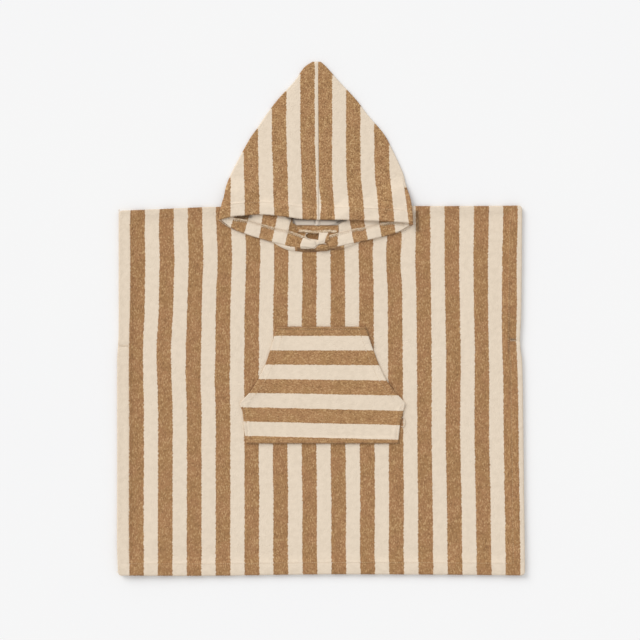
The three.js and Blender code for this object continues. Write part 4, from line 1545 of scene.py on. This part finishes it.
CREAM = (0.800, 0.676, 0.535)
CREAM_SHADE = (0.755, 0.634, 0.497)
TAN = (0.370, 0.198, 0.081)
TAN_ROSY = (0.383, 0.197, 0.086)
TAN_DARK = (0.200, 0.100, 0.036)
TAN_LIGHT = (0.600, 0.370, 0.165)
SPECK = (0.800, 0.575, 0.310)
THREAD = (0.720, 0.600, 0.440)
TAPE_CREAM = (0.680, 0.590, 0.500)
# Colour that the painted shade mixes towards
DEEP_SHADE = (0.060, 0.036, 0.020)
SHEEN = {"weight": 0.12, "roughness": 0.65}


class Nodes:
    """A short way of adding nodes to one material and joining them."""

    def __init__(self, name):
        self.material = bpy.data.materials.new(name)
        self.material.use_nodes = True
        self.tree = self.material.node_tree
        self.shader = self.tree.nodes["Principled BSDF"]

    def add(self, kind, links=(), **settings):
        made = self.tree.nodes.new(kind)
        for key, value in settings.items():
            setattr(made, key, value)
        for socket, value in dict(links).items():
            self.feed(made.inputs[socket], value)
        return made

    def feed(self, socket, value):
        if isinstance(value, bpy.types.NodeSocket):
            self.tree.links.new(value, socket)
        elif isinstance(value, tuple) and len(value) == 3 and socket.type == "RGBA":
            socket.default_value = (*value, 1)
        else:
            socket.default_value = value

    def math(self, operation, a, b=0.0):
        return self.add("ShaderNodeMath", {0: a, 1: b}, operation=operation).outputs[0]

    def noise(self, vector, scale, detail=2.0, roughness=0.5):
        made = self.add("ShaderNodeTexNoise", {"Vector": vector, "Scale": scale, "Detail": detail})
        made.inputs["Roughness"].default_value = roughness
        return made.outputs["Fac"]

    def range(self, value, low, high, to_low=0.0, to_high=1.0):
        links = {"Value": value, "From Min": low, "From Max": high, "To Min": to_low, "To Max": to_high}
        return self.add("ShaderNodeMapRange", links, interpolation_type="SMOOTHSTEP").outputs[0]

    def mixed(self, factor, a, b):
        made = self.add("ShaderNodeMix", data_type="RGBA")
        self.feed(made.inputs["Factor"], factor)
        self.feed(made.inputs[6], a)
        self.feed(made.inputs[7], b)
        return made.outputs[2]

    def scaled(self, vector, factors):
        return self.add("ShaderNodeVectorMath", {0: vector, 1: factors}, operation="MULTIPLY").outputs[0]


def finish(nodes, colour, relief, strength, depth):
    """What all cloth and thread share: painted shade in dark places between layers, a fine relief, matt with
    a soft sheen.
    """
    shaded = nodes.add("ShaderNodeAttribute", attribute_name="shade").outputs["Fac"]
    nodes.feed(nodes.shader.inputs["Base Color"], nodes.mixed(shaded, colour, DEEP_SHADE))
    bump = nodes.add("ShaderNodeBump", {"Height": relief, "Strength": strength, "Distance": depth})
    nodes.feed(nodes.shader.inputs["Normal"], bump.outputs["Normal"])
    nodes.shader.inputs["Roughness"].default_value = 0.95
    nodes.shader.inputs["Specular IOR Level"].default_value = 0.15
    nodes.shader.inputs["Sheen Weight"].default_value = SHEEN["weight"]
    nodes.shader.inputs["Sheen Roughness"].default_value = SHEEN["roughness"]
    return nodes.material


def terry(name, tan_share, streak, ragged, lighter_tan, heathered=1.0):
    """Striped terry: ragged borders, heathered tan, near even cream and a looped pile.

    lighter_tan is how far the tan goes to its light tone, and heathered how strongly single loops differ.
    """
    nodes = Nodes(name)
    uv = nodes.add("ShaderNodeUVMap", uv_map="cloth").outputs["UV"]
    in_mm = nodes.scaled(uv, (STRIPE_PERIOD, STRIPE_PERIOD, 0))
    across = nodes.add("ShaderNodeSeparateXYZ", {0: uv}).outputs[0]
    teeth = nodes.math("SUBTRACT", nodes.noise(in_mm, 0.36, 2.0, 0.6), 0.5)
    broad = nodes.math("SUBTRACT", nodes.noise(in_mm, 0.045, 1.0), 0.5)
    wander = nodes.math("ADD", nodes.math("MULTIPLY", teeth, ragged), nodes.math("MULTIPLY", broad, 0.03))
    centred = nodes.math("SUBTRACT", nodes.math("ADD", across, wander), tan_share / 2 - 0.5)
    from_centre = nodes.math("ABSOLUTE", nodes.math("SUBTRACT", nodes.math("FRACT", centred), 0.5))
    soft = 0.007
    is_tan = nodes.range(from_centre, tan_share / 2 + soft, tan_share / 2 - soft)

    streaked = nodes.scaled(in_mm, (1.0, 1.0 / streak, 1.0))
    yarn = nodes.add("ShaderNodeTexVoronoi", {"Vector": streaked, "Scale": 0.85}, feature="F1")
    each_loop = nodes.add("ShaderNodeSeparateColor", {0: yarn.outputs["Color"]}).outputs[0]
    heather = nodes.noise(streaked, 0.52, 2.0, 0.75)
    clump = nodes.noise(in_mm, 0.09, 2.0)
    tone = nodes.math("ADD", nodes.math("MULTIPLY", each_loop, 0.34), nodes.math("MULTIPLY", heather, 0.9))
    tone = nodes.math("ADD", tone, nodes.math("MULTIPLY", clump, 0.4))
    dark = nodes.range(tone, 0.80, 0.58)
    light = nodes.range(tone, 0.86, 1.06)
    speck = nodes.range(nodes.math("ADD", nodes.math("MULTIPLY", each_loop, 0.3), tone), 1.14, 1.24)
    tan = nodes.mixed(nodes.range(nodes.noise(in_mm, 0.03, 2.0), 0.4, 0.6), TAN, TAN_ROSY)
    tan = nodes.mixed(lighter_tan, tan, TAN_LIGHT)
    tan = nodes.mixed(nodes.math("MULTIPLY", dark, 0.65 * heathered), tan, TAN_DARK)
    tan = nodes.mixed(nodes.math("MULTIPLY", light, 0.24 * heathered), tan, TAN_LIGHT)
    tan = nodes.mixed(nodes.math("MULTIPLY", speck, 0.25 * heathered), tan, SPECK)
    cream = nodes.mixed(nodes.range(nodes.noise(in_mm, 0.12, 3.0), 0.35, 0.7), CREAM, CREAM_SHADE)
    colour = nodes.mixed(is_tan, cream, tan)

    loops = nodes.add("ShaderNodeTexVoronoi", {"Vector": in_mm, "Scale": 0.72}, feature="SMOOTH_F1")
    loops.inputs["Smoothness"].default_value = 0.6
    rise = nodes.math("SUBTRACT", 1.0, loops.outputs["Distance"])
    rise = nodes.math("ADD", rise, nodes.math("MULTIPLY", nodes.noise(in_mm, 0.28, 3.0), 0.9))
    rise = nodes.math("ADD", rise, nodes.math("MULTIPLY", nodes.noise(in_mm, 1.9, 2.0), 0.35))
    return finish(nodes, colour, rise, 0.5, 0.0011)


def twill(name):
    """Twill tape: fine slanted ribs and a little unevenness of colour."""
    nodes = Nodes(name)
    uv = nodes.add("ShaderNodeUVMap", uv_map="cloth").outputs["UV"]
    in_mm = nodes.scaled(uv, (STRIPE_PERIOD, STRIPE_PERIOD, 0))
    links = {"Vector": in_mm, "Scale": 0.42, "Distortion": 0.6}
    ribs = nodes.add("ShaderNodeTexWave", links, bands_direction="DIAGONAL")
    tone = nodes.range(nodes.noise(in_mm, 0.5, 2.0), 0.3, 0.7)
    colour = nodes.mixed(nodes.math("MULTIPLY", tone, 0.4), TAPE_CREAM, CREAM_SHADE)
    return finish(nodes, colour, ribs.outputs["Fac"], 0.5, 0.0004)


def thread(name, light, dark, tan_share):
    """Sewing thread: two tones in short runs across tan, cream across cream, with a fine ply."""
    nodes = Nodes(name)
    uv = nodes.add("ShaderNodeUVMap", uv_map="cloth").outputs["UV"]
    across = nodes.add("ShaderNodeSeparateXYZ", {0: uv}).outputs[0]
    on_tan = nodes.math("LESS_THAN", nodes.math("FRACT", across), tan_share)
    place = nodes.add("ShaderNodeTexCoord").outputs["Object"]
    tone = nodes.range(nodes.noise(place, 420.0, 2.0), 0.35, 0.65)
    colour = nodes.mixed(on_tan, CREAM, nodes.mixed(tone, light, dark))
    return finish(nodes, colour, nodes.noise(place, 2200.0, 1.0), 0.3, 0.0002)


BODY_TERRY = terry("body_terry", BODY_TAN, 2.0, 0.095, 0.0)
HOOD_TERRY = terry("hood_terry", HOOD_TAN, 1.4, 0.095, 0.1, 1.35)
POCKET_TERRY = terry("pocket_terry_cross", POCKET_TAN, 1.8, 0.055, 0.11)
NECK_TWILL = twill("neck_twill")
STITCH_THREAD = thread("stitch_thread", (0.72, 0.51, 0.29), (0.50, 0.31, 0.15), BODY_TAN)
EDGE_THREAD = thread("edge_thread", (0.86, 0.72, 0.54), (0.60, 0.42, 0.25), HOOD_TAN)
LOOP_THREAD = thread("loop_thread", CREAM, THREAD, 1.0)


# The pieces

front = panel("front_terry", NECK["front_depth"], front_under, front_top, body_stripe, BODY_TERRY)
back = panel(
    "back_terry", NECK["back_depth"], back_under, back_top,
    lambda x, y: body_stripe(x, y, BACK_STRIPE_SHIFT), BODY_TERRY,
)
hood_left = hood_half("hood_left_terry", LEFT, HOOD_TERRY)
hood_right = hood_half("hood_right_terry", RIGHT, HOOD_TERRY)
pocket = pocket_piece("pocket_terry", POCKET_TERRY)
tape = tape_piece("neck_tape_twill", NECK_TWILL)
allowance = allowance_piece("neck_allowance", HOOD_TERRY)
crossing = crossing_piece("hem_crossing", HOOD_TERRY)
ridge = ridge_piece("neck_seam_roll", HOOD_TERRY)
neck_bump = bump_piece("neck_seam_end", HOOD_TERRY)
hem_rows = hem_stitches("hem_stitches", STITCH_THREAD)
tacks = tack_stitches("armhole_tacks", LOOP_THREAD)
pocket_rows = pocket_stitches("pocket_stitches", STITCH_THREAD)
brim_rows = [
    brim_stitches("brim_stitches_left", LEFT, STITCH_THREAD),
    brim_stitches("brim_stitches_right", RIGHT, STITCH_THREAD),
]
overlocked = overlock("neck_overlock", EDGE_THREAD)


def body_outline():
    """The body's outer edge as a closed path, counter-clockwise from the foot at the left."""
    x = np.linspace(-HALF_WIDTH + 0.01, HALF_WIDTH - 0.01, 500)
    y = np.linspace(-HALF_LENGTH + CORNER_RADIUS, 160, 400)
    foot = np.stack([x, hem_y(x)], -1)
    right = np.stack([smooth(SIDES, "y", "right", y), y], -1)
    x_top = np.linspace(294.0, -296.0, 500)
    top = np.stack([x_top, shoulder_y(x_top)], -1)
    left = np.stack([smooth(SIDES, "y", "left", y), y], -1)[::-1]
    return foot, right, top, left


def pile_piece(name, parts, material):
    """Rows of edge loops joined into one piece."""
    starts = np.concatenate([p[0] for p in parts])
    ends = np.concatenate([p[1] for p in parts])
    stripes = np.concatenate([p[2] for p in parts])
    return spindles(name, starts, ends, 0.38, 0.0, stripes, material)


# Stretch of the shoulder line that the hood covers, which has no loops
HOOD_COVER = {"x": -6.0, "half": 138.0}


def body_pile(name):
    """Loops round the body's edge, outside the hood."""
    parts = []
    for k, path in enumerate(body_outline()):
        if k == 2:
            path = path[np.abs(path[:, 0] - HOOD_COVER["x"]) > HOOD_COVER["half"]]
        for seed in (11 + k, 31 + k):
            parts.append(edge_pile(path, front_top, body_stripe, 1, 1.15, seed, 0.9))
    return pile_piece(name, parts, BODY_TERRY)


def hood_pile(name, half):
    """Loops along the side fold, the brim and the lip of one half."""
    y = np.linspace(HALF_LENGTH - 1, HOOD_FOOT_Y, 200)
    side = half["side"]
    fold = np.stack([seam_x(y) + side * hood_width(half, y), y], -1)
    brim = smooth_path(half["brim"])(np.linspace(0, 1, 200))
    lip = smooth_path(half["lip"])(np.linspace(0, 1, 200))
    top, stripes = on_half(half, hood_top), on_half(half, hood_stripe)
    parts = [
        edge_pile(fold, lambda x, y: top(x, y) - 2, stripes, -side, 1.2, 5, 0.9),
        edge_pile(brim, top, stripes, side, 0.8, 7, 1.5),
        edge_pile(brim, top, stripes, side, 0.9, 8, 2.3),
        edge_pile(lip, on_half(half, under_face), on_half(half, lip_stripe), -side, 0.8, 9, 1.3),
    ]
    return pile_piece(name, parts, HOOD_TERRY)


def pocket_pile(name):
    """Loops round the pocket's edge."""
    y = np.linspace(POCKET_TOP, POCKET_FOOT, 200)
    left, right = pocket_sides(y)
    outline = [
        (np.stack([left, y], -1), -1),
        (np.stack([right, y], -1), 1),
        (np.stack([level_run(POCKET_TOP, 0), np.full(80, POCKET_TOP)], -1), -1),
        (np.stack([level_run(POCKET_FOOT, 0), np.full(80, POCKET_FOOT)], -1), 1),
    ]
    parts = [
        edge_pile(path, pocket_top, pocket_stripe, -way, 1.1, 13 + k, 0.9)
        for k, (path, way) in enumerate(outline)
    ]
    return pile_piece(name, parts, POCKET_TERRY)


body_loops = body_pile("body_edge_pile")
left_loops = hood_pile("hood_left_pile", LEFT)
right_loops = hood_pile("hood_right_pile", RIGHT)
pocket_loops = pocket_pile("pocket_edge_pile")

TERRY_PIECES = [
    front, back, hood_left, hood_right, pocket, allowance, crossing, ridge, neck_bump,
    body_loops, left_loops, right_loops, pocket_loops,
]
THREAD_PIECES = [hem_rows, tacks, pocket_rows, *brim_rows, overlocked]
for piece in TERRY_PIECES + THREAD_PIECES:
    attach(piece, "root")
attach(tape, "root")
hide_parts("front_panel")
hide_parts("back_panel")
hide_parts("hood_left")
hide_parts("hood_right")
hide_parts("pocket")
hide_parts("neck_tape")


# Floor, light and camera

IMAGE_CENTRE = (-1.6, -2.2)
IMAGE_WIDTH = 944.0
LENS = 100.0
SENSOR = 36.0


def pale_floor():
    """A wide plain floor just under the cloth."""
    half = 6.0
    mesh = bpy.data.meshes.new("floor")
    corners = [(-half, -half, -0.0002), (half, -half, -0.0002), (half, half, -0.0002), (-half, half, -0.0002)]
    mesh.from_pydata(corners, [], [(0, 1, 2, 3)])
    nodes = Nodes("floor_paper")
    place = nodes.add("ShaderNodeTexCoord").outputs["Object"]
    tone = nodes.range(nodes.noise(place, 3.0, 2.0), 0.3, 0.7)
    colour = nodes.mixed(tone, (0.9, 0.9, 0.905), (0.905, 0.905, 0.905))
    nodes.feed(nodes.shader.inputs["Base Color"], colour)
    nodes.shader.inputs["Roughness"].default_value = 0.9
    nodes.shader.inputs["Specular IOR Level"].default_value = 0.0
    mesh.materials.append(nodes.material)
    floor = bpy.data.objects.new("floor", mesh)
    bpy.context.scene.collection.objects.link(floor)


def studio_light():
    """An even white surround, and a wide soft light, low from the upper left."""
    world = bpy.data.worlds.new("studio")
    world.use_nodes = True
    world.node_tree.nodes["Background"].inputs["Color"].default_value = (1, 1, 1, 1)
    world.node_tree.nodes["Background"].inputs["Strength"].default_value = 0.737
    bpy.context.scene.world = world
    sun = bpy.data.lights.new("key", "SUN")
    sun.energy = 1.65
    sun.angle = math.radians(38)
    key = bpy.data.objects.new("key", sun)
    key.rotation_euler = (0, math.radians(57), math.radians(135))
    bpy.context.scene.collection.objects.link(key)


def camera_above():
    """Straight down on the middle of the image."""
    data = bpy.data.cameras.new("camera")
    data.lens = LENS
    data.sensor_width = SENSOR
    camera = bpy.data.objects.new("camera", data)
    distance = IMAGE_WIDTH * LENS / SENSOR
    camera.location = (IMAGE_CENTRE[0] * MM, IMAGE_CENTRE[1] * MM, distance * MM)
    bpy.context.scene.collection.objects.link(camera)
    bpy.context.scene.camera = camera


pale_floor()
studio_light()
camera_above()
bpy.context.scene.view_settings.view_transform = "Standard"
